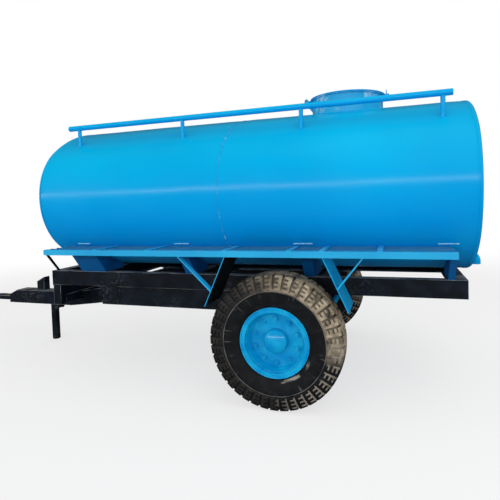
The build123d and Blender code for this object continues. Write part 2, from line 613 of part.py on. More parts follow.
def tyre_section():
    """Half section of the hollow tyre, bead to bead."""
    inner_shoulder = shoulder_radius - 2 * TYRE_WALL
    inner_half = tread_half - TYRE_WALL
    return [
        ThreePointArc((shoulder_radius, -tread_half), (tyre_radius, 0), (shoulder_radius, tread_half)),
        ThreePointArc((shoulder_radius, tread_half), (bulge_radius, tyre_half), (clinch_radius, rim_edge)),
        Polyline((clinch_radius, rim_edge), (clinch_radius, bead_half), (bead_radius, bead_half)),
        Polyline((bead_radius, bead_half), (bead_radius, bead_half - TYRE_WALL), (clinch_radius, rim_edge - TYRE_WALL)),
        ThreePointArc(
            (clinch_radius, rim_edge - TYRE_WALL),
            (bulge_radius, tyre_half - TYRE_WALL),
            (inner_shoulder, inner_half),
        ),
        Line((inner_shoulder, inner_half), (inner_shoulder, -inner_half)),
        ThreePointArc(
            (inner_shoulder, -inner_half),
            (bulge_radius, TYRE_WALL - tyre_half),
            (clinch_radius, TYRE_WALL - rim_edge),
        ),
        Polyline((clinch_radius, TYRE_WALL - rim_edge), (bead_radius, TYRE_WALL - bead_half), (bead_radius, -bead_half)),
        Polyline((bead_radius, -bead_half), (clinch_radius, -bead_half), (clinch_radius, -rim_edge)),
        ThreePointArc((clinch_radius, -rim_edge), (bulge_radius, -tyre_half), (shoulder_radius, -tread_half)),
    ]


def rim_section():
    """Half section of the rim's barrel with its two flanges and drop centre."""
    well_top = rim_half / 2
    well_foot = well_top - RIM_WELL_DEPTH
    half = [
        (well_radius, well_foot),
        (seat_radius, well_top),
        (seat_radius, rim_half),
        (flange_radius, rim_half),
        (flange_radius, rim_edge),
        (seat_radius - RIM_SHEET, rim_edge),
        (seat_radius - RIM_SHEET, well_top),
        (well_radius - RIM_SHEET, well_foot),
    ]
    outer = [(radius, -out) for radius, out in half[3::-1]] + half[:4]
    inner = half[4:] + [(radius, -out) for radius, out in half[:3:-1]]
    return [Polyline(outer + inner, close=True)]


def disc_section():
    """Half section of the dished disc between the hub flange and the rim."""
    hole = hub_radius + WELD_GAP
    weld_radius = seat_radius - RIM_SHEET
    return [
        Polyline(
            (hole, hub_flange_y),
            (nut_flat_radius, hub_flange_y),
            (weld_radius, BOWL_OUTBOARD - DISC_SHEET),
            (weld_radius, BOWL_OUTBOARD),
            (nut_flat_radius, DISC_OUTBOARD),
            (hole, DISC_OUTBOARD),
            close=True,
        )
    ]


def hub_section():
    """Half section of the hub: body, flange behind the disc, blind bore and domed cap."""
    bore = SPINDLE_DIAMETER / 2 + RUN_GAP
    bore_end = DISC_OUTBOARD + SWING_GAP
    cap_foot = DISC_OUTBOARD + HUB_CAP_DEPTH - HUB_CAP_CROWN
    cap_top = DISC_OUTBOARD + HUB_CAP_DEPTH
    crown_radius = (hub_radius**2 + HUB_CAP_CROWN**2) / (2 * HUB_CAP_CROWN)
    crown_mid = cap_top - crown_radius + sqrt(crown_radius**2 - (hub_radius / 2) ** 2)
    flange_back = hub_flange_y - HUB_FLANGE_THICKNESS
    return [
        Polyline(
            (0, cap_top),
            (0, bore_end),
            (bore, bore_end),
            (bore, -HUB_INBOARD),
            (hub_radius, -HUB_INBOARD),
            (hub_radius, flange_back),
            (nut_flat_radius, flange_back),
            (nut_flat_radius, hub_flange_y),
            (hub_radius, hub_flange_y),
            (hub_radius, cap_foot),
        ),
        ThreePointArc((hub_radius, cap_foot), (hub_radius / 2, crown_mid), (0, cap_top)),
    ]


for name, side in SIDES.items():
    nodes[f"tyre_{name}"] = turned(tyre_section(), side)
    nodes[f"rim_{name}"] = turned(rim_section(), side) + turned(disc_section(), side)
    nodes[f"hub_{name}"] = turned(hub_section(), side)

# Walkways: a frame of square bar with rods along it and cross bars below the rods
walk_ends = [WALK_CROSS_WIDTH / 2 - WALK_AHEAD, WALK_BEHIND - WALK_CROSS_WIDTH / 2]
walk_x = (-WALK_AHEAD, WALK_BEHIND)
rod_pitch = (WALK_OUTER - WALK_BAR - walk_inner) / (WALK_ROD_COUNT + 1)
cross_top = WALK_TOP - WALK_ROD
for name, side in SIDES.items():
    walkway = block(walk_x, across(side, walk_inner, walk_inner + WALK_BAR), (WALK_UNDERSIDE, WALK_TOP))
    walkway += block(walk_x, across(side, WALK_OUTER - WALK_BAR, WALK_OUTER), (WALK_UNDERSIDE, WALK_TOP))
    for middle in walk_ends + WALK_CROSS_BARS:
        bar_x = (middle - WALK_CROSS_WIDTH / 2, middle + WALK_CROSS_WIDTH / 2)
        bar_y = across(side, walk_inner + WALK_BAR, WALK_OUTER - WALK_BAR)
        walkway += block(bar_x, bar_y, (cross_top - WALK_CROSS_HEIGHT, cross_top))
    for number in range(WALK_ROD_COUNT):
        rod_inner = walk_inner + WALK_BAR / 2 + (number + 1) * rod_pitch
        rod_y = across(side, rod_inner, rod_inner + WALK_ROD)
        walkway += block(walk_x, rod_y, (cross_top, WALK_TOP))
    nodes[f"walkway_{name}"] = walkway

# Stays from the rails' front ends up to the front outer corners of the walkways
stays = []
stay_room_y = (-WALK_OUTER, WALK_OUTER)
stay_room = block((-CHASSIS_AHEAD, -WALK_AHEAD), stay_room_y, (RAIL_TOP, WALK_TOP))
for side in SIDES.values():
    foot = Vector(STAY_FOOT_BEHIND_FRONT - CHASSIS_AHEAD, side * (RAIL_OUTER - RAIL_FLANGE / 2), RAIL_TOP)
    head = Vector(-WALK_AHEAD, side * (WALK_OUTER - WALK_BAR / 2), WALK_UNDERSIDE + WALK_BAR / 2)
    reach = (head - foot).normalized() * WALK_BAR
    stays.append(rod(tuple(foot - reach), tuple(head + reach), STAY_DIAMETER) & stay_room)
nodes["walkway_stays"] = stays

# Splash flaps, hung from the walkways and braced by flat struts
flap_lean = (FLAP_FOOT_X - FLAP_TOP_X) / (WALK_UNDERSIDE - FLAP_FOOT_Z)


def flap_face(z):
    """Distance from the axle to the outer face of a flap at a height."""
    return FLAP_TOP_X + FLAP_SHEET + flap_lean * (WALK_UNDERSIDE - z)


flap_outline = [
    (FLAP_TOP_X, WALK_UNDERSIDE),
    (FLAP_TOP_X + FLAP_SHEET, WALK_UNDERSIDE),
    (FLAP_FOOT_X + FLAP_SHEET, FLAP_FOOT_Z),
    (FLAP_FOOT_X, FLAP_FOOT_Z),
]
for name, side in SIDES.items():
    flap_outer = WALK_OUTER - FLAP_INSET
    flaps = []
    struts = []
    for way, strut_top, strut_foot in FLAPS:
        flaps.append(side_plate([(way * px, pz) for px, pz in flap_outline], across(side, flap_outer - FLAP_WIDTH, flap_outer)))
        strut_outline = [
            (strut_top, WALK_UNDERSIDE),
            (strut_top + STRUT_THICKNESS, WALK_UNDERSIDE),
            (flap_face(strut_foot), strut_foot),
            (flap_face(strut_foot + STRUT_FOOT_THICKNESS), strut_foot + STRUT_FOOT_THICKNESS),
        ]
        strut_y = across(side, flap_outer - STRUT_WIDTH, flap_outer)
        struts.append(side_plate([(way * px, pz) for px, pz in strut_outline], strut_y))
    nodes[f"flaps_{name}"] = flaps
    nodes[f"flap_struts_{name}"] = struts

# The frame's origin: on the floor, midway between the towing eye's tip and the outlet's back
FRONT_TIP = eye_x - EYE_WIDTH / 2
REAR_TIP = outlet_x + OUTLET_DIAMETER / 2
to_middle = Pos(-(FRONT_TIP + REAR_TIP) / 2, 0, 0)
for name, made in nodes.items():
    pieces = made if isinstance(made, list) else [made]
    solids = [solid for piece in pieces for solid in piece.solids()]
    export_step(to_middle * Compound(children=solids), f"parts/{name}.step")
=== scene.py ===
import json
from math import atan2, ceil, cos, exp, hypot, pi, radians, sin, sqrt, tau

import bmesh
import bpy
from mathutils import Matrix, Vector, noise


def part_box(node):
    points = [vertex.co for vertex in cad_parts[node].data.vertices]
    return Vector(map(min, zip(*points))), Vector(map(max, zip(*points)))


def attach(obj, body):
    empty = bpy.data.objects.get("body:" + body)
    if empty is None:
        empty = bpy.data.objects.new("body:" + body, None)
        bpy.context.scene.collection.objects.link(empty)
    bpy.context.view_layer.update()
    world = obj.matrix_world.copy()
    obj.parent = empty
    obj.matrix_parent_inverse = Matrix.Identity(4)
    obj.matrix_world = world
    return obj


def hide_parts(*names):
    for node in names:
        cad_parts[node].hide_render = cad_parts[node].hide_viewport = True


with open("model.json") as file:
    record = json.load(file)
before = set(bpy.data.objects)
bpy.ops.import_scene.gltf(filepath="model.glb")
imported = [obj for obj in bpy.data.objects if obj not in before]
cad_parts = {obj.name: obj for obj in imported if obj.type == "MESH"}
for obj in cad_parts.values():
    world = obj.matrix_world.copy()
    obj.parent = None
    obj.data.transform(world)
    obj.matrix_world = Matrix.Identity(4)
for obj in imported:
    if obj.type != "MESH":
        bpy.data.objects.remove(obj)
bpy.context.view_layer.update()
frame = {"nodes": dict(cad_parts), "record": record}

# Chassis: two rails of channel iron with cross-members, lower beams over the axle and front posts.
# Hot-rolled mild steel, cut and arc welded, then brushed over with black enamel. Road dust lies on
# whatever faces up, and the paint is thin and grey along the rolled corners.


def linear(code):
    """A colour written as an sRGB hex code, as the linear values that a shader takes."""
    levels = [int(code[start : start + 2], 16) / 255 for start in (1, 3, 5)]
    return [v / 12.92 if v <= 0.04045 else ((v + 0.055) / 1.055) ** 2.4 for v in levels] + [1.0]


def add(tree, kind, inputs=None, **settings):
    """Adds a node with its settings, and sets or links its inputs by name or number."""
    made = tree.nodes.new(kind)
    for name, value in settings.items():
        setattr(made, name, value)
    for name, value in (inputs or {}).items():
        if isinstance(value, bpy.types.NodeSocket):
            tree.links.new(value, made.inputs[name])
        else:
            made.inputs[name].default_value = value
    return made


def begin_material(name):
    """A new material with its node tree, its shader and its object coordinates."""
    material = bpy.data.materials.new(name)
    material.use_nodes = True
    tree = material.node_tree
    shader = tree.nodes["Principled BSDF"]
    place = add(tree, "ShaderNodeTexCoord")
    return material, tree, shader, place


def share(tree, *terms):
    """How far a coat covers, as the product of its terms.

    A term is a number, a socket, or a socket with the two values between which it makes a soft step,
    followed by the levels before and after the step where these aren't 0 and 1.
    """
    made = None
    for term in terms:
        if isinstance(term, tuple):
            value, start, end, *levels = term
            low, high = levels or (0.0, 1.0)
            inputs = {"Value": value, "From Min": start, "From Max": end, "To Min": low, "To Max": high}
            term = add(tree, "ShaderNodeMapRange", inputs, interpolation_type="SMOOTHSTEP").outputs["Result"]
        if made is None:
            made = term
        else:
            made = add(tree, "ShaderNodeMath", {0: made, 1: term}, operation="MULTIPLY").outputs[0]
    return made


def speckle(tree, place, size_mm, low, high, detail=4.0):
    """Spots about size_mm across, stretched so that low in their noise becomes 0 and high becomes 1."""
    inputs = {"Vector": place.outputs["Object"], "Scale": 1000 / size_mm, "Detail": detail}
    return share(tree, (add(tree, "ShaderNodeTexNoise", inputs).outputs["Fac"], low, high))


def coats(tree, base, *layers):
    """A base colour with others laid over it in turn, each given as its share and its colour."""
    made = linear(base) if isinstance(base, str) else base
    for cover, colour in layers:
        over = linear(colour) if isinstance(colour, str) else colour
        made = add(tree, "ShaderNodeMix", {"Factor": cover, 6: made, 7: over}, data_type="RGBA").outputs[2]
    return made


# Black chassis enamel: brush-laid alkyd paint. It gives a dull sheen that breaks up in brush marks,
# grey dust on upper faces, dried splashes on the sides and a pale worn line along each corner.
STROKES_A_METRE = (12, 260, 260)
chassis_enamel, tree, shader, place = begin_material("black_chassis_enamel")
upward = add(tree, "ShaderNodeSeparateXYZ", {0: place.outputs["Normal"]}).outputs["Z"]
dust_patch = speckle(tree, place, 240, 0.28, 0.66)
dust = share(tree, (upward, 0.35, 0.95, 0.0, 0.85), dust_patch)
splash = share(tree, speckle(tree, place, 330, 0.50, 0.72), speckle(tree, place, 22, 0.46, 0.66), 0.42)
film = speckle(tree, place, 90, 0.35, 0.80)
worn = add(tree, "ShaderNodeAttribute", attribute_name="worn").outputs["Fac"]
wear = share(tree, worn, speckle(tree, place, 130, 0.36, 0.60))
painted = coats(tree, "#060D18", (film, "#0F1B2B"), (splash, "#565A5E"), (wear, "#76818C"))
tree.links.new(coats(tree, painted, (dust, "#9A968C")), shader.inputs["Base Color"])
tree.links.new(share(tree, (dust_patch, 0.0, 1.0, 0.40, 0.66)), shader.inputs["Roughness"])
shader.inputs["Specular IOR Level"].default_value = 0.22
drawn = add(tree, "ShaderNodeMapping", {"Vector": place.outputs["Object"], "Scale": STROKES_A_METRE})
strokes = add(tree, "ShaderNodeTexNoise", {"Vector": drawn.outputs[0], "Scale": 1.0, "Detail": 3.0})
relief = add(tree, "ShaderNodeBump", {"Strength": 0.3, "Distance": 0.0006, "Height": strokes.outputs["Fac"]})
tree.links.new(relief.outputs[0], shader.inputs["Normal"])


def meshed(name, form, *materials):
    """A finished form as a mesh with its materials."""
    mesh = bpy.data.meshes.new(name)
    form.to_mesh(mesh)
    form.free()
    for material in materials:
        mesh.materials.append(material)
    return mesh


def settle(name, mesh, body, slot, *nodes):
    """Makes a mesh a piece that rides on its body and stands for the solids it dresses."""
    piece = bpy.data.objects.new(name, mesh)
    bpy.context.scene.collection.objects.link(piece)
    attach(piece, body)
    if nodes:
        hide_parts(*nodes)
    return piece


bodies = frame["record"]["behaviour"]["bodies"]
body_of_node = {node: body for body, members in bodies.items() for node in members}
SAME_POINT = 2e-5
FLAT_TURN = radians(0.4)
CORNER_TURN = radians(38)
CORNER_STEPS = 2
CORNER_PROFILE = 0.6


def solid_form(node):
    """A copy of a solid as a form whose flat sides are single faces."""
    form = bmesh.new()
    form.from_mesh(frame["nodes"][node].data)
    bmesh.ops.remove_doubles(form, verts=form.verts, dist=SAME_POINT)
    bmesh.ops.dissolve_limit(form, angle_limit=FLAT_TURN, verts=form.verts, edges=form.edges)
    return form


def eased(node, corner_mm, material, slot, mark=None):
    """Dresses a solid, with its corners rounded and marked worn. mark says which other faces to mark."""
    form = solid_form(node)
    corners = [e for e in form.edges if e.is_manifold and e.calc_face_angle(0) > CORNER_TURN]
    worn_layer = form.faces.layers.float.new("worn")
    mark_layer = form.faces.layers.float.new("mark")
    if mark:
        for face in form.faces:
            face[mark_layer] = float(mark(face))
    cut = bmesh.ops.bevel(
        form,
        geom=corners,
        offset=corner_mm / 1000,
        offset_type="OFFSET",
        segments=CORNER_STEPS,
        profile=CORNER_PROFILE,
        affect="EDGES",
        clamp_overlap=True,
    )
    for face in cut["faces"]:
        face[worn_layer] = 1.0
        face[mark_layer] = 0.0
    for face in form.faces:
        face.smooth = True
    for edge in form.edges:
        edge.smooth = not edge.is_manifold or edge.calc_face_angle(0) < CORNER_TURN
    name = node + "_dressed"
    piece = settle(name, meshed(name, form, material), body_of_node[node], slot, node)
    piece.modifiers.new("flat faces", "WEIGHTED_NORMAL").keep_sharp = True


CHASSIS_CORNER_MM = 3.0
chassis_nodes = ["chassis_rail_left", "chassis_rail_right", "cross_members"]
chassis_nodes += ["lower_beam_left", "lower_beam_right", "front_posts", "lower_cross_member", "walkway_stays"]
for node in chassis_nodes:
    eased(node, CHASSIS_CORNER_MM, chassis_enamel, "black_paint")

# Drawbar and axle: a closed box nose with two splayed arms, the towing eye, an upright block, the leg
# and the square axle with its seats and clamps. Plate and channel, welded and painted with the chassis.
drawbar_nodes = ["drawbar_nose", "drawbar_arm_left", "drawbar_arm_right", "hitch_eye", "drawbar_upright"]
drawbar_nodes += ["leg_lugs", "parking_leg", "axle", "axle_seats", "axle_clamps"]
for node in drawbar_nodes:
    eased(node, CHASSIS_CORNER_MM, chassis_enamel, "black_paint")

# Welds of the chassis: runs of arc weld laid by hand, rippled, and painted over with the black enamel.
# Each run follows the line where two pieces meet.
BEAD_STEP = 0.005
BEAD_SIDES = 8
RIPPLES_A_METRE = 110.0
SEW_DISTANCE = 1e-5


def new_tree(name, *inputs):
    """An empty geometry tree with its inputs, each a name and a kind of socket, and its start node."""
    tree = bpy.data.node_groups.new(name, "GeometryNodeTree")
    tree.interface.new_socket("Geometry", in_out="OUTPUT", socket_type="NodeSocketGeometry")
    for label, kind in (("Geometry", "Geometry"), *inputs, ("Material", "Material")):
        tree.interface.new_socket(label, in_out="INPUT", socket_type="NodeSocket" + kind)
    return tree, add(tree, "NodeGroupInput").outputs


def close_tree(tree, geometry, given):
    """The end of every geometry tree: instances made real and sewn together, then the material."""
    real = add(tree, "GeometryNodeRealizeInstances", {0: geometry}).outputs[0]
    sewn = add(tree, "GeometryNodeMergeByDistance", {"Geometry": real, "Distance": SEW_DISTANCE}).outputs[0]
    coated = add(tree, "GeometryNodeSetMaterial", {"Geometry": sewn, "Material": given["Material"]})
    add(tree, "NodeGroupOutput", {0: coated.outputs[0]})


bead_tree, given = new_tree("weld_run", ("Radius", "Float"), ("Ripple", "Float"))
line = add(bead_tree, "GeometryNodeMeshToCurve", {0: given["Geometry"]}).outputs[0]
steps = {"Curve": line, "Length": BEAD_STEP}
path = add(bead_tree, "GeometryNodeResampleCurve", steps, mode="LENGTH").outputs[0]
circle = {"Resolution": BEAD_SIDES, "Radius": given["Radius"]}
round_section = add(bead_tree, "GeometryNodeCurvePrimitiveCircle", circle).outputs[0]
sweep = {"Curve": path, "Profile Curve": round_section, "Fill Caps": True}
run = add(bead_tree, "GeometryNodeCurveToMesh", sweep).outputs[0]
bumps = add(bead_tree, "ShaderNodeTexNoise", {"Scale": RIPPLES_A_METRE, "Detail": 1.0}).outputs[0]
swell = add(bead_tree, "ShaderNodeMath", {0: bumps, 1: 0.5}, operation="SUBTRACT").outputs[0]
swell = share(bead_tree, swell, given["Ripple"])
outward = add(bead_tree, "GeometryNodeInputNormal").outputs[0]
lift = add(bead_tree, "ShaderNodeVectorMath", {0: outward, "Scale": swell}, operation="SCALE").outputs[0]
run = add(bead_tree, "GeometryNodeSetPosition", {"Geometry": run, "Offset": lift}).outputs[0]
close_tree(bead_tree, add(bead_tree, "GeometryNodeSetShadeSmooth", {0: run}).outputs[0], given)


def grown(mesh, tree, **values):
    """The mesh that a geometry tree makes of a starting mesh."""
    holder = bpy.data.objects.new("start", mesh)
    bpy.context.scene.collection.objects.link(holder)
    step = holder.modifiers.new("tree", "NODES")
    step.node_group = tree
    for item in tree.interface.items_tree:
        if item.in_out == "INPUT" and item.name in values:
            step[item.identifier] = values[item.name]
    made = bpy.data.meshes.new_from_object(holder.evaluated_get(bpy.context.evaluated_depsgraph_get()))
    holder.modifiers.remove(step)
    bpy.data.objects.remove(holder)
    return made


def lay_welds(name, paths, radius, material, slot, body="chassis", ripple=0.9):
    """Weld runs along open paths of points, or closed ones that end where they start, as one piece."""
    lines = bmesh.new()
    for points in paths:
        closed = (Vector(points[0]) - Vector(points[-1])).length < SEW_DISTANCE
        verts = [lines.verts.new(p) for p in (points[:-1] if closed else points)]
        for before, after in zip(verts, verts[1:] + verts[:1] if closed else verts[1:]):
            lines.edges.new((before, after))
    start = meshed(name + "_lines", lines)
    made = grown(start, bead_tree, Radius=radius, Ripple=ripple * radius, Material=material)
    made.name = name
    settle(name, made, body, slot)


CHASSIS_BEAD = 0.004
BEAM_RUN_FROM_UNDERSIDE = 0.03
RAIL_RUN_LENGTH = 0.06
RAIL_RUN_BELOW_TOP = 0.008
rail_low, rail_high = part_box("chassis_rail_left")
nose_low, nose_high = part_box("drawbar_nose")
beam_low, beam_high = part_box("lower_beam_left")
post_low, post_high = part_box("front_posts")
upright_low, upright_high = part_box("drawbar_upright")
chassis_runs = []
for side in (-1, 1):
    face_y = side * abs(rail_low.y)
    nose_y = side * nose_high.y
    foot_y = side * upright_high.y
    run_z = rail_high.z - RAIL_RUN_BELOW_TOP
    beam_z = beam_low.z + BEAM_RUN_FROM_UNDERSIDE
    chassis_runs += [
        [(beam_low.x, face_y, rail_low.z), (beam_high.x, face_y, rail_low.z)],
        [(beam_low.x, face_y, beam_z), (beam_low.x, face_y, rail_low.z)],
        [(post_low.x, face_y, rail_low.z), (post_high.x, face_y, rail_low.z)],
        [(rail_low.x, face_y, rail_low.z), (rail_low.x, face_y, rail_high.z)],
        [(rail_low.x, face_y - side * RAIL_RUN_LENGTH, run_z), (rail_low.x, face_y, run_z)],
        [(nose_high.x, nose_y, nose_low.z), (nose_high.x, nose_y, nose_high.z)],
        [(upright_low.x, foot_y, nose_high.z), (upright_high.x, foot_y, nose_high.z)],
    ]
lay_welds("chassis_welds", chassis_runs, CHASSIS_BEAD, chassis_enamel, "black_paint")

# Tie plates: short flats over the joint of rail and lower beam, one on each side. Cut from plate with
# broken edges, welded on and painted with the chassis.
TIE_BEHIND_FRONT = 0.60
TIE_BELOW_RAIL = 0.02
TIE_SIZE = (0.105, 0.007, 0.105)
TIE_CORNER = 0.002


def add_plate(form, middle, size):
    """Adds a rectangular plate to a form."""
    bmesh.ops.create_cube(form, size=1.0, matrix=Matrix.Translation(middle) @ Matrix.Diagonal((*size, 1.0)))


ties = bmesh.new()
for side in (-1, 1):
    tie_y = side * (abs(rail_low.y) + TIE_SIZE[1] / 2)
    add_plate(ties, (rail_low.x + TIE_BEHIND_FRONT, tie_y, rail_low.z - TIE_BELOW_RAIL), TIE_SIZE)
bmesh.ops.bevel(
    ties, geom=ties.edges[:], offset=TIE_CORNER, segments=CORNER_STEPS, affect="EDGES", profile=CORNER_PROFILE
)
settle("tie_plates", meshed("tie_plates", ties, chassis_enamel), "chassis", "black_paint")

# Front apron: a plate welded across between the front posts under the rails, which closes the view
# through the chassis from the side. Cut from plate and painted with it.
APRON_SHEET = 0.008
APRON_GAP = 0.002
apron_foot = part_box("lower_cross_member")[1].z
apron_width = 2 * abs(rail_high.y) - 2 * APRON_GAP
apron_size = (APRON_SHEET, apron_width, rail_low.z - apron_foot - 2 * APRON_GAP)
apron = bmesh.new()
add_plate(apron, (post_high.x - APRON_SHEET / 2 - APRON_GAP, 0.0, (rail_low.z + apron_foot) / 2), apron_size)
settle("front_apron", meshed("front_apron", apron, chassis_enamel), "chassis", "black_paint")

# Hinge pins of the leg and the lid: turned from bright steel bar and pushed through their lugs. They
# are greased, never painted, and rust in spots.
PIN_CORNER_MM = 1.0
pin_steel, tree, shader, place = begin_material("worn_pin_steel")
rusty = coats(tree, "#8C8880", (speckle(tree, place, 14, 0.45, 0.70), "#5B4636"))
tree.links.new(rusty, shader.inputs["Base Color"])
shader.inputs["Metallic"].default_value = 0.9
shader.inputs["Roughness"].default_value = 0.42
for node in ("leg_pin", "lid_hinge_pin"):
    eased(node, PIN_CORNER_MM, pin_steel, "bare_steel")

# Tank: an oval shell of two rolled courses with domed ends, butt welded from outside.
# Mild steel sheet, primed and sprayed with bright blue gloss enamel over the welds. The sheet is a
# little wavy and dished at its ring welds, and the manhole is cut through it.
TANK_END_RADIUS = 0.480
TANK_WALL = 0.005
HEAD_SKIRT = 0.018
HEAD_KNUCKLE = 0.024
DOME_RINGS = (0.04, 0.2, 0.36, 0.52, 0.68, 0.82, 0.92, 0.97)
KNUCKLE_STEPS = 6
SHEET_WAVE = 0.0020
LONG_WAVES_A_METRE = (1.6, 2.2, 2.6)
SHORT_WAVES_A_METRE = (4.1, 3.0, 5.2)
SHORT_WAVES_START = Vector((7, 0, 0))
SEAM_DIP = 0.0024
SEAM_DIP_REACH = 0.055
ROUND_STEPS = 240
LENGTH_STEP = 0.045

# Gloss blue enamel: sprayed alkyd. A clean saturated blue with a wet gloss, faint orange peel and slow
# changes of depth where the coat is thicker. Faces turned upwards are painted a lighter, more cyan blue
# as painted light from above.
blue_enamel, tree, shader, place = begin_material("gloss_blue_enamel")
upward = add(tree, "ShaderNodeSeparateXYZ", {0: place.outputs["Normal"]}).outputs["Z"]
coat_depth = speckle(tree, place, 900, 0.30, 0.70, 3.0)
# Painted light: faces turned upwards get a lighter, more cyan blue.
painted_top_light = share(tree, (upward, -0.6, 0.75))
thin_coat = coats(tree, "#0092DC", (painted_top_light, "#00A2D4"))
thick_coat = coats(tree, "#0098E0", (painted_top_light, "#00ACDC"))
tree.links.new(coats(tree, thin_coat, (coat_depth, thick_coat)), shader.inputs["Base Color"])
haze = speckle(tree, place, 400, 0.30, 0.75)
tree.links.new(share(tree, (haze, 0.0, 1.0, 0.17, 0.24)), shader.inputs["Roughness"])
shader.inputs["Specular IOR Level"].default_value = 0.13
peel = add(tree, "ShaderNodeTexNoise", {"Vector": place.outputs["Object"], "Scale": 1000 / 14, "Detail": 2.0})
relief = add(tree, "ShaderNodeBump", {"Strength": 0.10, "Distance": 0.0008, "Height": peel.outputs["Fac"]})
tree.links.new(relief.outputs[0], shader.inputs["Normal"])

front_low, front_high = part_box("tank_front_course")
rear_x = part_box("tank_rear_course")[1].x
head_front_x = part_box("tank_front_head")[0].x
head_rear_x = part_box("tank_rear_head")[1].x
tank_half_width = front_high.y
tank_half_height = (front_high.z - front_low.z) / 2
tank_z = (front_high.z + front_low.z) / 2
seam_x = front_high.x
end_centre = tank_half_width - TANK_END_RADIUS
roof_sum = end_centre**2 + tank_half_height**2 - TANK_END_RADIUS**2
roof_radius = roof_sum / (2 * (tank_half_height - TANK_END_RADIUS))
roof_drop = roof_radius - tank_half_height
meet_turn = atan2(end_centre, roof_drop)


def oval(count):
    """Points round the tank's section from its crest, evenly spaced, each with its outward normal."""
    roof_arc = meet_turn * roof_radius
    quarter = roof_arc + (pi / 2 - meet_turn) * TANK_END_RADIUS
    points = []
    for number in range(count):
        turn, rest = divmod(4 * quarter * number / count, quarter)
        if turn % 2:
            rest = quarter - rest
        angle = rest / roof_radius if rest < roof_arc else meet_turn + (rest - roof_arc) / TANK_END_RADIUS
        ny, nz = sin(angle), cos(angle)
        if rest < roof_arc:
            y, z = roof_radius * ny, roof_radius * nz - roof_drop
        else:
            y, z = end_centre + TANK_END_RADIUS * ny, TANK_END_RADIUS * nz
        side = 1 if turn < 2 else -1
        lift = 1 if turn in (0, 3) else -1
        points.append((side * y, lift * z, side * ny, lift * nz))
    return points


def sheet_wave(x, y, z):
    """How far the rolled sheet stands off its true form, dished at the ring welds."""
    spot = Vector((x, y, z))
    wave = SHEET_WAVE * noise.noise(spot * Vector(LONG_WAVES_A_METRE))
    wave += 0.5 * SHEET_WAVE * noise.noise(spot * Vector(SHORT_WAVES_A_METRE) + SHORT_WAVES_START)
    for weld_x in (front_low.x, seam_x, rear_x):
        wave -= SEAM_DIP * exp(-(((x - weld_x) / SEAM_DIP_REACH) ** 2))
    return wave


section = oval(ROUND_STEPS)


def head_rows(end_x, tip_x):
    """The rings of a domed end from its tip to where it is welded to the course."""
    way = 1 if tip_x > end_x else -1
    crown = abs(tip_x - end_x) - HEAD_SKIRT
    dome_radius = (tank_half_width**2 + crown**2) / (2 * crown)
    rows = []
    for reach_share in DOME_RINGS:
        row = []
        for y, z, ny, nz in section:
            y_in, z_in = y - HEAD_KNUCKLE * ny, z - HEAD_KNUCKLE * nz
            reach = reach_share * hypot(y_in, z_in)
            x = tip_x - way * reach**2 / (2 * dome_radius)
            row.append((x, reach_share * y_in, tank_z + reach_share * z_in))
        rows.append(row)
    for step in range(KNUCKLE_STEPS + 1):
        turn = pi / 2 * step / KNUCKLE_STEPS
        inset = HEAD_KNUCKLE * (1 - sin(turn))
        setback = HEAD_KNUCKLE * (1 - cos(turn))
        row = []
        for y, z, ny, nz in section:
            edge_x = tip_x - way * (y * y + z * z) / (2 * dome_radius)
            row.append((edge_x - way * setback, y - inset * ny, tank_z + z - inset * nz))
        rows.append(row)
    return rows


def course_ring(x, sink=0.0):
    """A ring round the rolled sheet at a place along it, sunk in it."""
    ring = []
    for y, z, ny, nz in section:
        wave = sheet_wave(x, y, z) - sink
        ring.append((x, y + wave * ny, tank_z + z + wave * nz))
    return ring


tank_rows = head_rows(front_low.x, head_front_x)
course_steps = ceil((rear_x - front_low.x) / LENGTH_STEP)
for step in range(course_steps + 1):
    tank_rows.append(course_ring(front_low.x + (rear_x - front_low.x) * step / course_steps))
tank_rows += reversed(head_rows(rear_x, head_rear_x))
shell = bmesh.new()
rings = [[shell.verts.new(spot) for spot in row] for row in tank_rows]
for ring_a, ring_b in zip(rings, rings[1:]):
    for number in range(ROUND_STEPS):
        shell.faces.new((ring_a[number - 1], ring_a[number], ring_b[number], ring_b[number - 1]))
shell.faces.new(rings[0])
shell.faces.new(list(reversed(rings[-1])))
bmesh.ops.recalc_face_normals(shell, faces=shell.faces)
shell.normal_update()
inner = bmesh.ops.duplicate(shell, geom=shell.verts[:] + shell.edges[:] + shell.faces[:])["geom"]
inner_verts = [item for item in inner if isinstance(item, bmesh.types.BMVert)]
pushes = [vert.normal * TANK_WALL for vert in inner_verts]
for vert, push in zip(inner_verts, pushes):
    vert.co -= push
bmesh.ops.reverse_faces(shell, faces=[item for item in inner if isinstance(item, bmesh.types.BMFace)])

# The manhole, as wide as the inside of the collar that stands over it.
COLLAR_RIM = 0.012
COLLAR_WALL = 0.006
CUTTER_SIDES = 96
CUTTER_LENGTH = 1.0
CUTTER_RISE = 0.3
collar_low, collar_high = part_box("manhole_collar")
manhole_x = (collar_low.x + collar_high.x) / 2
manhole_radius = (collar_high.y - collar_low.y) / 2 - COLLAR_RIM - COLLAR_WALL
cutter_form = bmesh.new()
bmesh.ops.create_cone(
    cutter_form,
    cap_ends=True,
    segments=CUTTER_SIDES,
    radius1=manhole_radius,
    radius2=manhole_radius,
    depth=CUTTER_LENGTH,
    matrix=Matrix.Translation((manhole_x, 0, tank_z + tank_half_height + CUTTER_RISE)),
)
cutter = bpy.data.objects.new("cutter", meshed("cutter", cutter_form))
uncut = bpy.data.objects.new("uncut", meshed("tank_shell", shell, blue_enamel))
for item in (cutter, uncut):
    bpy.context.scene.collection.objects.link(item)
cut = uncut.modifiers.new("manhole", "BOOLEAN")
cut.object = cutter
cut.solver = "EXACT"
cut.operation = "DIFFERENCE"
shell_mesh = bpy.data.meshes.new_from_object(uncut.evaluated_get(bpy.context.evaluated_depsgraph_get()))
uncut.modifiers.remove(cut)
for item in (cutter, uncut):
    bpy.data.objects.remove(item)
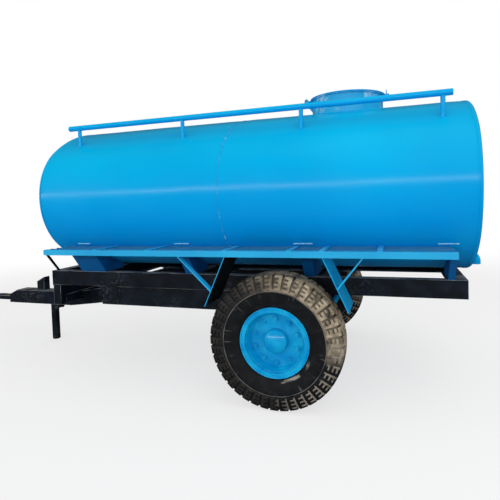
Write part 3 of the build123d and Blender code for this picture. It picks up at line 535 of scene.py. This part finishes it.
shell_mesh.name = "tank_shell"
for face in shell_mesh.polygons:
    face.use_smooth = True
shell_mesh.set_sharp_from_angle(angle=CORNER_TURN)
tank_nodes = ["tank_front_course", "tank_rear_course", "tank_front_head", "tank_rear_head"]
settle("tank_shell", shell_mesh, "chassis", "blue_paint", *tank_nodes)

# Welds of the tank: the ring welds of its ends, the collar's foot and the handrail posts' feet. Laid by
# hand from outside and sprayed over with the same enamel as the sheet.
TANK_BEAD = 0.0045
BEAD_SINK = 0.002
COLLAR_BEAD_OUT = 0.007
COLLAR_BEAD_STEPS = 96
POST_BEAD_RADIUS = 0.016
POST_BEAD_STEPS = 24
POST_RADIUS = 0.015
POSTS_FROM_FIRST = (0.0, 0.935, 1.843, 2.745)


def roof_ring(middle_x, middle_y, radius, steps, side=1):
    """A closed ring of points on the tank's roof, on one side of the middle."""
    ring = []
    for step in range(steps):
        turn = tau * step / steps
        y = side * (middle_y + radius * sin(turn))
        ring.append((middle_x + radius * cos(turn), y, tank_z - roof_drop + sqrt(roof_radius**2 - y * y)))
    return ring + ring[:1]


tank_runs = []
for weld_x in (front_low.x, rear_x):
    ring = course_ring(weld_x, BEAD_SINK)
    tank_runs.append(ring + ring[:1])
tank_runs.append(roof_ring(manhole_x, 0.0, manhole_radius + COLLAR_BEAD_OUT, COLLAR_BEAD_STEPS))
rail_post_low, rail_post_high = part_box("handrail_posts_right")
post_foot_y = (rail_post_low.y + rail_post_high.y) / 2
for side in (-1, 1):
    for along in POSTS_FROM_FIRST:
        post_x = rail_post_low.x + POST_RADIUS + along
        tank_runs.append(roof_ring(post_x, post_foot_y, POST_BEAD_RADIUS, POST_BEAD_STEPS, side))
lay_welds("tank_welds", tank_runs, TANK_BEAD, blue_enamel, "blue_paint")

# Seam weld: the ring weld between the two courses. It stands a little proud under a thin coat, and
# pale spots are painted in its ripples as painted highlights, so that it shows as a dotted line.
seam_enamel, tree, shader, place = begin_material("highlit_seam_enamel")
painted_ripple_highlights = share(tree, speckle(tree, place, 30, 0.50, 0.58), speckle(tree, place, 420, 0.38, 0.58))
tree.links.new(coats(tree, "#0090CE", (painted_ripple_highlights, "#8CCBE8")), shader.inputs["Base Color"])
shader.inputs["Roughness"].default_value = 0.35
shader.inputs["Specular IOR Level"].default_value = 0.25
ring = course_ring(seam_x, BEAD_SINK)
lay_welds("seam_weld", [ring + ring[:1]], TANK_BEAD, seam_enamel, "blue_paint")

# Bracket runs: the upper welds of the walkway's brackets on the shell, ground, and painted pale blue with
# whiter spots as painted highlight along them. Each place is given from the axle as its start and its end.
BRACKETS_FROM_AXLE = [(-1.70, -1.58), (-0.83, -0.71), (0.085, 0.215), (1.0, 1.12)]
BRACKET_ABOVE_WALK = 0.020
BRACKET_BEAD_OUT = 0.001
bracket_enamel, tree, shader, place = begin_material("highlit_bracket_enamel")
# Painted highlight: pale blue with whiter spots along the runs.
painted_glints = speckle(tree, place, 30, 0.30, 0.62)
tree.links.new(coats(tree, "#2AA6DE", (painted_glints, "#9FD2EA")), shader.inputs["Base Color"])
shader.inputs["Roughness"].default_value = 0.45
shader.inputs["Specular IOR Level"].default_value = 0.3
axle_low, axle_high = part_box("axle")
axle_x = (axle_low.x + axle_high.x) / 2
walk_low, walk_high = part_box("walkway_left")
bracket_z = walk_high.z + BRACKET_ABOVE_WALK
bracket_drop = tank_z - bracket_z
if bracket_drop < TANK_END_RADIUS * cos(meet_turn):
    bracket_y = end_centre + sqrt(TANK_END_RADIUS**2 - bracket_drop**2)
else:
    bracket_y = sqrt(roof_radius**2 - (bracket_drop + roof_drop) ** 2)
bracket_runs = []
for side in (-1, 1):
    run_y = side * (bracket_y + BRACKET_BEAD_OUT)
    for start, end in BRACKETS_FROM_AXLE:
        bracket_runs.append([(axle_x + start, run_y, bracket_z), (axle_x + end, run_y, bracket_z)])
lay_welds("bracket_welds", bracket_runs, TANK_BEAD, bracket_enamel, "blue_paint")

# Outlet, hinge, hasp, lid and handrails: water pipe, flats and a pressed lid. Welded to the tank, apart
# from the lid that swings on its pin, and sprayed with the tank's enamel.
BLUE_CORNER_MM = 2.0
blue_nodes = ["outlet_elbow", "lid_hinge_lugs", "lid_hasp", "manhole_lid"]
blue_nodes += ["handrail_left", "handrail_right", "handrail_posts_left", "handrail_posts_right"]
for node in blue_nodes:
    eased(node, BLUE_CORNER_MM, blue_enamel, "blue_paint")

# Manhole collar: a rolled ring with a flat rim, welded on the roof. Boots and hoses have rubbed its
# enamel through to the pale primer, which leaves dull light patches round the ring.
collar_enamel, tree, shader, place = begin_material("rubbed_blue_enamel")
rubbed = share(tree, speckle(tree, place, 120, 0.50, 0.64), speckle(tree, place, 26, 0.38, 0.60), 0.5)
coat_depth = speckle(tree, place, 500, 0.3, 0.7)
sprayed = coats(tree, "#0096CC", (coat_depth, "#00A2D0"), (rubbed, "#B9D6E2"))
tree.links.new(sprayed, shader.inputs["Base Color"])
tree.links.new(share(tree, (rubbed, 0.0, 1.0, 0.28, 0.6)), shader.inputs["Roughness"])
shader.inputs["Specular IOR Level"].default_value = 0.3
eased("manhole_collar", BLUE_CORNER_MM, collar_enamel, "blue_paint")

# Walkways: a ladder of bar, cross flats and rods on each side, welded up and sprayed with the tank.
# Soles have scuffed the upper faces, and the faces between the rods are painted dark blue as painted shade.
OUTER_BAR = 0.045
SIDEWAYS = 0.8
walk_enamel, tree, shader, place = begin_material("scuffed_blue_enamel")
upward = add(tree, "ShaderNodeSeparateXYZ", {0: place.outputs["Normal"]}).outputs["Z"]
pale_marks = share(tree, (upward, 0.6, 0.95), speckle(tree, place, 60, 0.42, 0.70), 0.35)
coat_depth = speckle(tree, place, 500, 0.3, 0.7)
# Painted shade: faces looking sideways between the bars are painted dark blue.
painted_shade_between_bars = add(tree, "ShaderNodeAttribute", attribute_name="mark").outputs["Fac"]
sprayed = coats(tree, "#0C9AD2", (coat_depth, "#1AA8DC"), (pale_marks, "#9CC4D8"), (painted_shade_between_bars, "#0D5488"))
tree.links.new(sprayed, shader.inputs["Base Color"])
shader.inputs["Roughness"].default_value = 0.38
shader.inputs["Specular IOR Level"].default_value = 0.3
walk_outer = -walk_low.y
walk_inner = -walk_high.y


def between_bars(face):
    """Whether a face of a walkway looks sideways between its bars, where shade is painted."""
    return abs(face.normal.y) > SIDEWAYS and abs(face.calc_center_median().y) < walk_outer - OUTER_BAR


for node in ("walkway_left", "walkway_right"):
    eased(node, BLUE_CORNER_MM, walk_enamel, "blue_paint", between_bars)

# Saddles: plates cut to the belly and welded on the rails. They share the tank's enamel, dulled, and are
# painted a darker blue as painted shade, because they sit in shade under the walkway.
saddle_enamel, tree, shader, place = begin_material("shaded_blue_enamel")
shade_patches = speckle(tree, place, 180, 0.25, 0.75)
# Painted shade: both blues are darker than the tank's enamel.
tree.links.new(coats(tree, "#005C9C", (shade_patches, "#004C86")), shader.inputs["Base Color"])
shader.inputs["Roughness"].default_value = 0.5
shader.inputs["Specular IOR Level"].default_value = 0.15
for node in ("saddles_left", "saddles_right"):
    eased(node, BLUE_CORNER_MM, saddle_enamel, "blue_paint")

# Tread strips: flats welded across the top of each walkway's bars where it is stepped on. Cut from flat
# bar and sprayed with the walkway.
STRIP_WIDTH = 0.032
STRIP_THICKNESS = 0.006
STRIPS_FROM_AXLE = [-1.33, -0.9, -0.318, 0.11, 0.318, 0.66]
for name, side in (("left", -1), ("right", 1)):
    strips = bmesh.new()
    strip_y = side * (walk_outer + walk_inner) / 2
    for along in STRIPS_FROM_AXLE:
        spot = (axle_x + along, strip_y, walk_high.z + STRIP_THICKNESS / 2)
        add_plate(strips, spot, (STRIP_WIDTH, walk_outer - walk_inner, STRIP_THICKNESS))
    strips_mesh = meshed("tread_strips_" + name, strips, walk_enamel)
    settle("tread_strips_" + name, strips_mesh, "chassis", "blue_paint")

# Splash flaps: sheets hung from the walkway before and behind each wheel, with a flat strut each. The
# side towards the wheel is near black with faint grey spots, and the outside is blue enamel.
FLAP_CORNER_MM = 1.0
TOWARDS_WHEEL = 0.05
LENGTHWISE = 0.5
flap_enamel, tree, shader, place = begin_material("dark_backed_blue_enamel")
wheel_side = add(tree, "ShaderNodeAttribute", attribute_name="mark").outputs["Fac"]
wheel_side_tone = coats(tree, "#0A0E14", (speckle(tree, place, 70, 0.35, 0.70), "#1B2026"))
coat_depth = speckle(tree, place, 500, 0.3, 0.7)
sprayed = coats(tree, "#0A96D0", (coat_depth, "#18A4DC"), (wheel_side, wheel_side_tone))
tree.links.new(sprayed, shader.inputs["Base Color"])
tree.links.new(share(tree, (wheel_side, 0.0, 1.0, 0.34, 0.75)), shader.inputs["Roughness"])
shader.inputs["Specular IOR Level"].default_value = 0.25


def faces_wheel(face):
    """Whether a face of a flap looks at the wheel."""
    from_wheel = face.normal.x * (face.calc_center_median().x - axle_x)
    return from_wheel < -TOWARDS_WHEEL and abs(face.normal.x) > LENGTHWISE


for node in ("flaps_left", "flaps_right"):
    eased(node, FLAP_CORNER_MM, flap_enamel, "blue_paint", faces_wheel)
for node in ("flap_struts_left", "flap_struts_right"):
    eased(node, FLAP_CORNER_MM, walk_enamel, "blue_paint")

# Wheels: a rolled rim with a pressed disc, bolted to the hub by ten nuts. Pressed steel, sprayed blue
# in place with the nuts on, so that everything inside the rim has one wet coat with slight runs.
RIM_CORNER_MM = 3.0
HUB_CORNER_MM = 12.0
wheel_enamel, tree, shader, place = begin_material("sprayed_wheel_enamel")
coat_depth = speckle(tree, place, 120, 0.30, 0.72)
tree.links.new(coats(tree, "#008CCC", (coat_depth, "#08AADC")), shader.inputs["Base Color"])
gloss = speckle(tree, place, 60, 0.3, 0.7)
tree.links.new(share(tree, (gloss, 0.0, 1.0, 0.14, 0.24)), shader.inputs["Roughness"])
shader.inputs["Specular IOR Level"].default_value = 0.5
runs = add(tree, "ShaderNodeTexNoise", {"Vector": place.outputs["Object"], "Scale": 1000 / 30, "Detail": 2.0})
relief = add(tree, "ShaderNodeBump", {"Strength": 0.35, "Distance": 0.002, "Height": runs.outputs["Fac"]})
tree.links.new(relief.outputs[0], shader.inputs["Normal"])
for name in ("left", "right"):
    eased("rim_" + name, RIM_CORNER_MM, wheel_enamel, "blue_paint")
    eased("hub_" + name, HUB_CORNER_MM, wheel_enamel, "blue_paint")

# Wheel nuts and rim rings: hexagon nuts on studs with a coned washer, drawn up on the disc in a ring,
# the weld that holds the disc in the rim, and the rim's rolled lip. All under the wheel's enamel.
WHEEL_MIDDLE_Y = 0.867
WHEEL_Z = 0.445
DISC_FACE_OUT = 0.028
NUT_COUNT = 10
NUT_RING_RADIUS = 0.145
NUT_CORNER_RADIUS = 0.032 / sqrt(3)
WASHER_RADIUS = 0.021
STUD_RADIUS = 0.010
# From the disc outwards: (sides, radius, radius at the top, height)
NUT_STACK = [
    (24, WASHER_RADIUS, 0.75 * WASHER_RADIUS, 0.004),
    (6, NUT_CORNER_RADIUS, 0.93 * NUT_CORNER_RADIUS, 0.017),
    (16, STUD_RADIUS, 0.8 * STUD_RADIUS, 0.027),
]
# Rings on the rim: (name, radius, outboard distance, thickness, ripple)
RIM_RINGS = [("disc_weld_", 0.193, 0.079, 0.004, 0.9), ("rim_lip_", 0.2255, 0.100, 0.0050, 0.0)]
RIM_RING_STEPS = 120

ring_tree, given = new_tree("ring_of_pieces", ("Count", "Int"), ("Centre", "Vector"))
start_points = {"Count": given["Count"], "Position": given["Centre"]}
spots = add(ring_tree, "GeometryNodePoints", start_points).outputs[0]
number = add(ring_tree, "GeometryNodeInputIndex").outputs[0]
part_turn = add(ring_tree, "ShaderNodeMath", {0: number, 1: given["Count"]}, operation="DIVIDE").outputs[0]
turn = add(ring_tree, "ShaderNodeCombineXYZ", {"Y": share(ring_tree, part_turn, tau)}).outputs[0]
copies = {"Points": spots, "Instance": given["Geometry"], "Rotation": turn}
close_tree(ring_tree, add(ring_tree, "GeometryNodeInstanceOnPoints", copies).outputs[0], given)

for name, side in (("left", -1), ("right", 1)):
    nut = bmesh.new()
    upright = Matrix.Rotation(-side * pi / 2, 4, "X")
    for sides, radius, top, height in NUT_STACK:
        stand = Matrix.Translation((0, side * height / 2, NUT_RING_RADIUS)) @ upright
        bmesh.ops.create_cone(
            nut, cap_ends=True, segments=sides, radius1=radius, radius2=top, depth=height, matrix=stand
        )
    start = meshed("nut", nut)
    centre = (axle_x, side * (WHEEL_MIDDLE_Y + DISC_FACE_OUT), WHEEL_Z)
    nuts = grown(start, ring_tree, Count=NUT_COUNT, Centre=centre, Material=wheel_enamel)
    settle("wheel_nuts_" + name, nuts, "wheel_" + name, "blue_paint")
    for label, radius, out, thickness, ripple in RIM_RINGS:
        y = side * (WHEEL_MIDDLE_Y + out)
        turns = [tau * step / RIM_RING_STEPS for step in range(RIM_RING_STEPS)]
        hoop = [(axle_x + radius * sin(turn), y, WHEEL_Z + radius * cos(turn)) for turn in turns]
        hoop += hoop[:1]
        lay_welds(label + name, [hoop], thickness, wheel_enamel, "blue_paint", "wheel_" + name, ripple)

# Tyres: moulded cross-ply rubber with square shoulder blocks, each cut by three slots into the groove
# beside it. Dry clay dust lies on the shoulder towards the rear and in the grooves lower down.
BLOCK_COUNT = 41
TREAD_HALF = 0.104
SHOULDER_RADIUS = 0.438
TYRE_HALF = 0.120
CLINCH_RADIUS = 0.237
RIM_EDGE = 0.100
BULGE_RADIUS = 0.3345
GROOVE_DEPTH = 0.012
SLOT_DEPTH = 0.006
BLOCK_FOOT = 0.350
BLOCK_FOOT_RUN = 0.003
BLOCK_LIFT = 0.002
BLOCK_EDGE_TURN = radians(33)
SLOTS = [0.369, 0.395, 0.420]
SLOT_HALF = 0.0042
WALL_RUN = 0.0014
# Columns of one block: (share of the block's turn, depth into the groove, depth into a slot)
BLOCK_COLUMNS = [(0.0, 0, 0), (0.04, 0, 0), (0.07, 1, 0), (0.25, 1, 0), (0.28, 0, 1)]
BLOCK_COLUMNS += [(0.72, 0, 1), (0.745, 0, 0), (0.87, 0, 0), (1.0, 0, 0)]
# Plain rows of the sidewall from its bead, with the bead's rib and the wall's rib: (radius, lift)
WALL_ROWS = [(0.237, 0), (0.2415, 0), (0.2432, 0.0018), (0.2478, 0.0018), (0.2495, 0), (0.262, 0), (0.28, 0)]
WALL_ROWS += [(0.302, 0), (0.3245, 0), (0.3262, 0.0024), (0.3335, 0.0024), (0.3352, 0), (0.345, 0)]
SHOULDER_EDGE = 0.4315
# Rows of the tread to the tyre's middle: (radius, outboard distance, inward lean, groove share, slot share)
TREAD_ROWS = [
    (0.4375, 0.1025, 0.6, 1.0, 0.0),
    (0.4392, 0.0960, 0.95, 1.0, 0.0),
    (0.4418, 0.068, 1.0, 1.0, 0.0),
    (0.4440, 0.038, 1.0, 1.0, 0.0),
    (0.4340, 0.037, 1.0, 0.15, 0.0),
    (0.4340, 0.031, 1.0, 0.0, 0.0),
    (0.4446, 0.030, 1.0, 0.0, 0.0),
    (0.4450, 0.012, 1.0, 0.0, 0.0),
]
# Rows of the inside from the bead to the crown: (radius, outboard distance)
HOLLOW_ROWS = [(0.237, 0.0927), (0.2033, 0.0927), (0.2033, 0.0747)]
HOLLOW_ROWS += [(0.237, 0.082), (0.3345, 0.102), (0.402, 0.086)]

# Dusty tyre rubber: vulcanised and never painted. Matt black greyed by dust, with pale clay on the
# shoulder, dried dribbles about 21 mm wide down the wall, a dust line on the rib and a painted glint,
# a pale smear on the bead low towards the rear.
DRIBBLES_A_RADIAN = 16.0
DRIBBLES_A_METRE = 7.0
rubber, tree, shader, place = begin_material("dusty_tyre_rubber")
axle_spot = {0: place.outputs["Object"], 1: (axle_x, 0, WHEEL_Z)}
from_axle = add(tree, "ShaderNodeVectorMath", axle_spot, operation="SUBTRACT").outputs[0]
across_axle = add(tree, "ShaderNodeVectorMath", {0: from_axle, 1: (1, 0, 1)}, operation="MULTIPLY").outputs[0]
reach = add(tree, "ShaderNodeVectorMath", {0: across_axle}, operation="LENGTH").outputs["Value"]
parts = add(tree, "ShaderNodeSeparateXYZ", {0: across_axle}).outputs
clock = add(tree, "ShaderNodeMath", {0: parts["X"], 1: parts["Z"]}, operation="ARCTAN2").outputs[0]
groove = add(tree, "ShaderNodeAttribute", attribute_name="groove").outputs["Fac"]
rear_arc = share(tree, (clock, -0.7, 0.6, 0.05, 1.0), (clock, 1.5, 1.95, 1.0, 0.0))
foot_arc = share(tree, (clock, 1.3, 1.7), (clock, 2.6, 3.1, 1.0, 0.45))
clay_patch = speckle(tree, place, 75, 0.24, 0.52, 6.0)
clay = share(tree, (reach, 0.332, 0.350), rear_arc, clay_patch, (groove, 0.0, 1.0, 0.95, 0.35))
filled = share(tree, groove, foot_arc, speckle(tree, place, 60, 0.28, 0.50), 0.8)
rib_line = share(tree, (reach, 0.3335, 0.3365), (reach, 0.338, 0.341, 1.0, 0.0))
rib_dust = share(tree, rib_line, speckle(tree, place, 110, 0.30, 0.60), 0.55)
down_wall = {"X": share(tree, clock, DRIBBLES_A_RADIAN), "Y": share(tree, reach, DRIBBLES_A_METRE)}
spokes = add(tree, "ShaderNodeCombineXYZ", down_wall).outputs[0]
streaks = add(tree, "ShaderNodeTexNoise", {"Vector": spokes, "Scale": 1.0, "Detail": 5.0}).outputs["Fac"]
wall_band = share(tree, (reach, 0.268, 0.30), (reach, 0.325, 0.34, 1.0, 0.0))
dribble = share(tree, (streaks, 0.60, 0.70), wall_band, 0.34)
# Painted glint: a pale smear on the bead, low towards the rear.
bead_band = share(tree, (reach, 0.236, 0.242), (reach, 0.252, 0.262, 1.0, 0.0))
pale_marks = share(tree, bead_band, (clock, 1.9, 2.3), speckle(tree, place, 70, 0.48, 0.62), 0.45)
film = share(tree, speckle(tree, place, 55, 0.38, 0.80), 0.5)
clay_tone = coats(tree, "#837866", (speckle(tree, place, 35, 0.35, 0.65), "#B0A28C"))
aged = coats(tree, "#0F1216", (film, "#23272B"), (dribble, "#878785"), (rib_dust, "#8E8B86"))
dusted = coats(tree, aged, (pale_marks, "#CFCDC6"), (clay, clay_tone), (filled, "#A49C90"))
tree.links.new(dusted, shader.inputs["Base Color"])
tree.links.new(share(tree, (clay, 0.0, 1.0, 0.55, 0.92)), shader.inputs["Roughness"])
shader.inputs["Specular IOR Level"].default_value = 0.22
grain = add(tree, "ShaderNodeTexNoise", {"Vector": place.outputs["Object"], "Scale": 1000 / 5, "Detail": 3.0})
relief = add(tree, "ShaderNodeBump", {"Strength": 0.25, "Distance": 0.0008, "Height": grain.outputs["Fac"]})
tree.links.new(relief.outputs[0], shader.inputs["Normal"])

arc_rise = ((SHOULDER_RADIUS - CLINCH_RADIUS) / 2) ** 2
wall_out = (TREAD_HALF + RIM_EDGE) / 2
wall_sag = TYRE_HALF - wall_out
wall_round = (arc_rise + wall_sag**2) / (2 * wall_sag)


def wall_spot(radius, lift):
    """A point of the sidewall at a radius, lifted off it, as radius and outboard distance."""
    tilt = (radius - BULGE_RADIUS) / wall_round
    lean = wall_out + (RIM_EDGE - wall_out) * (BULGE_RADIUS - radius) / (BULGE_RADIUS - CLINCH_RADIUS)
    out = lean + sqrt(wall_round**2 - (radius - BULGE_RADIUS) ** 2) - wall_round + wall_sag
    return radius + lift * tilt, out + lift


# Rows of the outer half of the tyre from its bead, with the columns of TREAD_ROWS
half_rows = [(*wall_spot(radius, lift), 0.0, 0.0, 0.0) for radius, lift in WALL_ROWS]
half_rows.append((*wall_spot(BLOCK_FOOT, 0), 0.0, 0.0, 0.0))
half_rows.append((*wall_spot(BLOCK_FOOT + BLOCK_FOOT_RUN, BLOCK_LIFT), 0.0, 0.4, 0.0))
slot_wall = SLOT_HALF + WALL_RUN
for slot in SLOTS:
    for offset, cut_share in ((-slot_wall, 0), (-SLOT_HALF, 1), (SLOT_HALF, 1), (slot_wall, 0)):
        depth = 0.5 + 0.5 * (slot + offset - BLOCK_FOOT) / (SHOULDER_RADIUS - BLOCK_FOOT)
        half_rows.append((*wall_spot(slot + offset, BLOCK_LIFT), 0.0, depth, cut_share))
half_rows.append((*wall_spot(SHOULDER_EDGE, BLOCK_LIFT), 0.15, 1.0, 0.0))
half_rows += TREAD_ROWS
tyre_rows = list(half_rows)
tyre_rows += [(radius, -out, *cuts) for radius, out, *cuts in reversed(half_rows)]
tyre_rows += [(radius, -out, 0.0, 0.0, 0.0) for radius, out in HOLLOW_ROWS]
tyre_rows += [(radius, out, 0.0, 0.0, 0.0) for radius, out in reversed(HOLLOW_ROWS)]

for name, side in (("left", -1), ("right", 1)):
    block = bmesh.new()
    groove_layer = block.verts.layers.float.new("groove")
    columns = []
    for turn_share, in_groove, in_slot in BLOCK_COLUMNS:
        angle = tau * turn_share / BLOCK_COUNT
        column = []
        for radius, out, lean, groove_share, slot_share in tyre_rows:
            depth = max(GROOVE_DEPTH * groove_share * in_groove, SLOT_DEPTH * slot_share * in_slot)
            inward = -1 if out > 0 else 1
            r = radius - depth * lean
            y = out + inward * depth * (1 - lean)
            vert = block.verts.new((r * sin(angle), side * y, r * cos(angle)))
            vert[groove_layer] = min(1.0, depth / SLOT_DEPTH)
            column.append(vert)
        columns.append(column)
    for before, after in zip(columns, columns[1:]):
        for row in range(len(tyre_rows)):
            block.faces.new((before[row - 1], before[row], after[row], after[row - 1]))
    bmesh.ops.recalc_face_normals(block, faces=block.faces)
    for face in block.faces:
        face.smooth = True
    start = meshed("tyre_block", block)
    centre = (axle_x, side * WHEEL_MIDDLE_Y, WHEEL_Z)
    tyre = grown(start, ring_tree, Count=BLOCK_COUNT, Centre=centre, Material=rubber)
    tyre.set_sharp_from_angle(angle=BLOCK_EDGE_TURN)
    settle("tyre_dressed_" + name, tyre, "wheel_" + name, "tyre", "tyre_" + name)

# Floor: a plain pale studio floor that fades into a white backdrop. It lights the trailer's underside
# as matt grey paper would, and is dark to what mirrors it, as the ground of an open yard is.
FLOOR_HALF = 60.0
FLOOR_FADE_START = 4.0
FLOOR_FADE_END = 9.0
FLOOR_GLOW_NEAR = 0.66
floor_paint, tree, shader, place = begin_material("pale_floor")
far = add(tree, "ShaderNodeVectorMath", {0: place.outputs["Object"]}, operation="LENGTH").outputs["Value"]
rays = add(tree, "ShaderNodeLightPath").outputs
glow_share = share(tree, rays["Is Camera Ray"], (far, FLOOR_FADE_START, FLOOR_FADE_END, FLOOR_GLOW_NEAR, 1.0))
floor_tone = coats(tree, "#C6C4C0", (rays["Is Glossy Ray"], "#202020"), (rays["Is Camera Ray"], "#F2F2F0"))
tree.links.new(floor_tone, shader.inputs["Base Color"])
shader.inputs["Roughness"].default_value = 0.9
glow = add(tree, "ShaderNodeEmission", {"Color": linear("#FFFFFF"), "Strength": 1.0})
laid = add(tree, "ShaderNodeMixShader", {0: glow_share, 1: shader.outputs[0], 2: glow.outputs[0]})
tree.links.new(laid.outputs[0], tree.nodes["Material Output"].inputs["Surface"])
floor_form = bmesh.new()
bmesh.ops.create_grid(floor_form, x_segments=1, y_segments=1, size=FLOOR_HALF)
floor = bpy.data.objects.new("floor", meshed("floor", floor_form, floor_paint))
bpy.context.scene.collection.objects.link(floor)

# Light: a soft dome, brightest at the horizon and white to the camera, with a large soft lamp above the
# rear and a long strip at eye height on the camera's side, which draws the pale band along the tank.
HORIZON_LEVEL = 1.36
ZENITH_LEVEL = 0.42
MIRRORED_LEVEL = 0.08
world = bpy.data.worlds.new("studio_dome")
bpy.context.scene.world = world
world.use_nodes = True
tree = world.node_tree
tree.nodes.clear()
rays = add(tree, "ShaderNodeLightPath").outputs
place = add(tree, "ShaderNodeTexCoord")
height = add(tree, "ShaderNodeSeparateXYZ", {0: place.outputs["Generated"]}).outputs["Z"]
sky = share(tree, (height, -0.1, 0.8, HORIZON_LEVEL, ZENITH_LEVEL))
mirrored = add(tree, "ShaderNodeMix", {"Factor": rays["Is Glossy Ray"], 2: sky, 3: MIRRORED_LEVEL}).outputs[0]
straight = {0: rays["Is Camera Ray"], 1: rays["Is Transmission Ray"]}
shown = add(tree, "ShaderNodeMath", straight, operation="MAXIMUM").outputs[0]
level = add(tree, "ShaderNodeMix", {"Factor": shown, 2: mirrored, 3: 1.0}).outputs[0]
dome = add(tree, "ShaderNodeBackground", {"Color": linear("#FFFFFF"), "Strength": level})
add(tree, "ShaderNodeOutputWorld", {"Surface": dome.outputs[0]})


def area_lamp(name, place, aim, width, height, watts):
    """A soft rectangular lamp at a place, turned to face a point."""
    lamp = bpy.data.lights.new(name, "AREA")
    lamp.shape = "RECTANGLE"
    lamp.size = width
    lamp.size_y = height
    lamp.energy = watts
    holder = bpy.data.objects.new(name, lamp)
    holder.location = place
    holder.rotation_euler = (Vector(aim) - Vector(place)).to_track_quat("-Z", "Y").to_euler()
    bpy.context.scene.collection.objects.link(holder)
    return holder


overhead = area_lamp("overhead_lamp", (3.0, -1.5, 5.0), (1.8, 0.0, 1.2), width=6.0, height=5.0, watts=92)
overhead.visible_glossy = False
area_lamp("eye_strip", (-3.0, -9.0, 2.75), (-3.0, 0.0, 1.5), width=28.0, height=0.35, watts=560)

# Camera: at the photographer's place, level with the tank's middle and a little behind the axle.
EYE = (1.755925, -3.614, 1.358)
YAW = radians(-18.141)
PITCH = radians(-2.514)
ROLL = radians(-1.81)
FOCAL_PX = 436.09
IMAGE_PX = 500
MIDDLE_ROW_PX = 220
SENSOR_MM = 36.0
forward = Vector((sin(YAW) * cos(PITCH), cos(YAW) * cos(PITCH), sin(PITCH)))
right = Vector((cos(YAW), -sin(YAW), 0.0))
up = right.cross(forward)
turned_right = cos(ROLL) * right + sin(ROLL) * up
turned_up = cos(ROLL) * up - sin(ROLL) * right
turned = Matrix((turned_right, turned_up, -forward)).transposed().to_4x4()
lens = bpy.data.cameras.new("camera")
lens.sensor_width = SENSOR_MM
lens.lens = FOCAL_PX * SENSOR_MM / IMAGE_PX
lens.shift_y = (MIDDLE_ROW_PX - IMAGE_PX / 2) / IMAGE_PX
camera = bpy.data.objects.new("camera", lens)
camera.matrix_world = Matrix.Translation(EYE) @ turned
bpy.context.scene.collection.objects.link(camera)
bpy.context.scene.camera = camera
bpy.context.scene.view_settings.view_transform = "Standard"
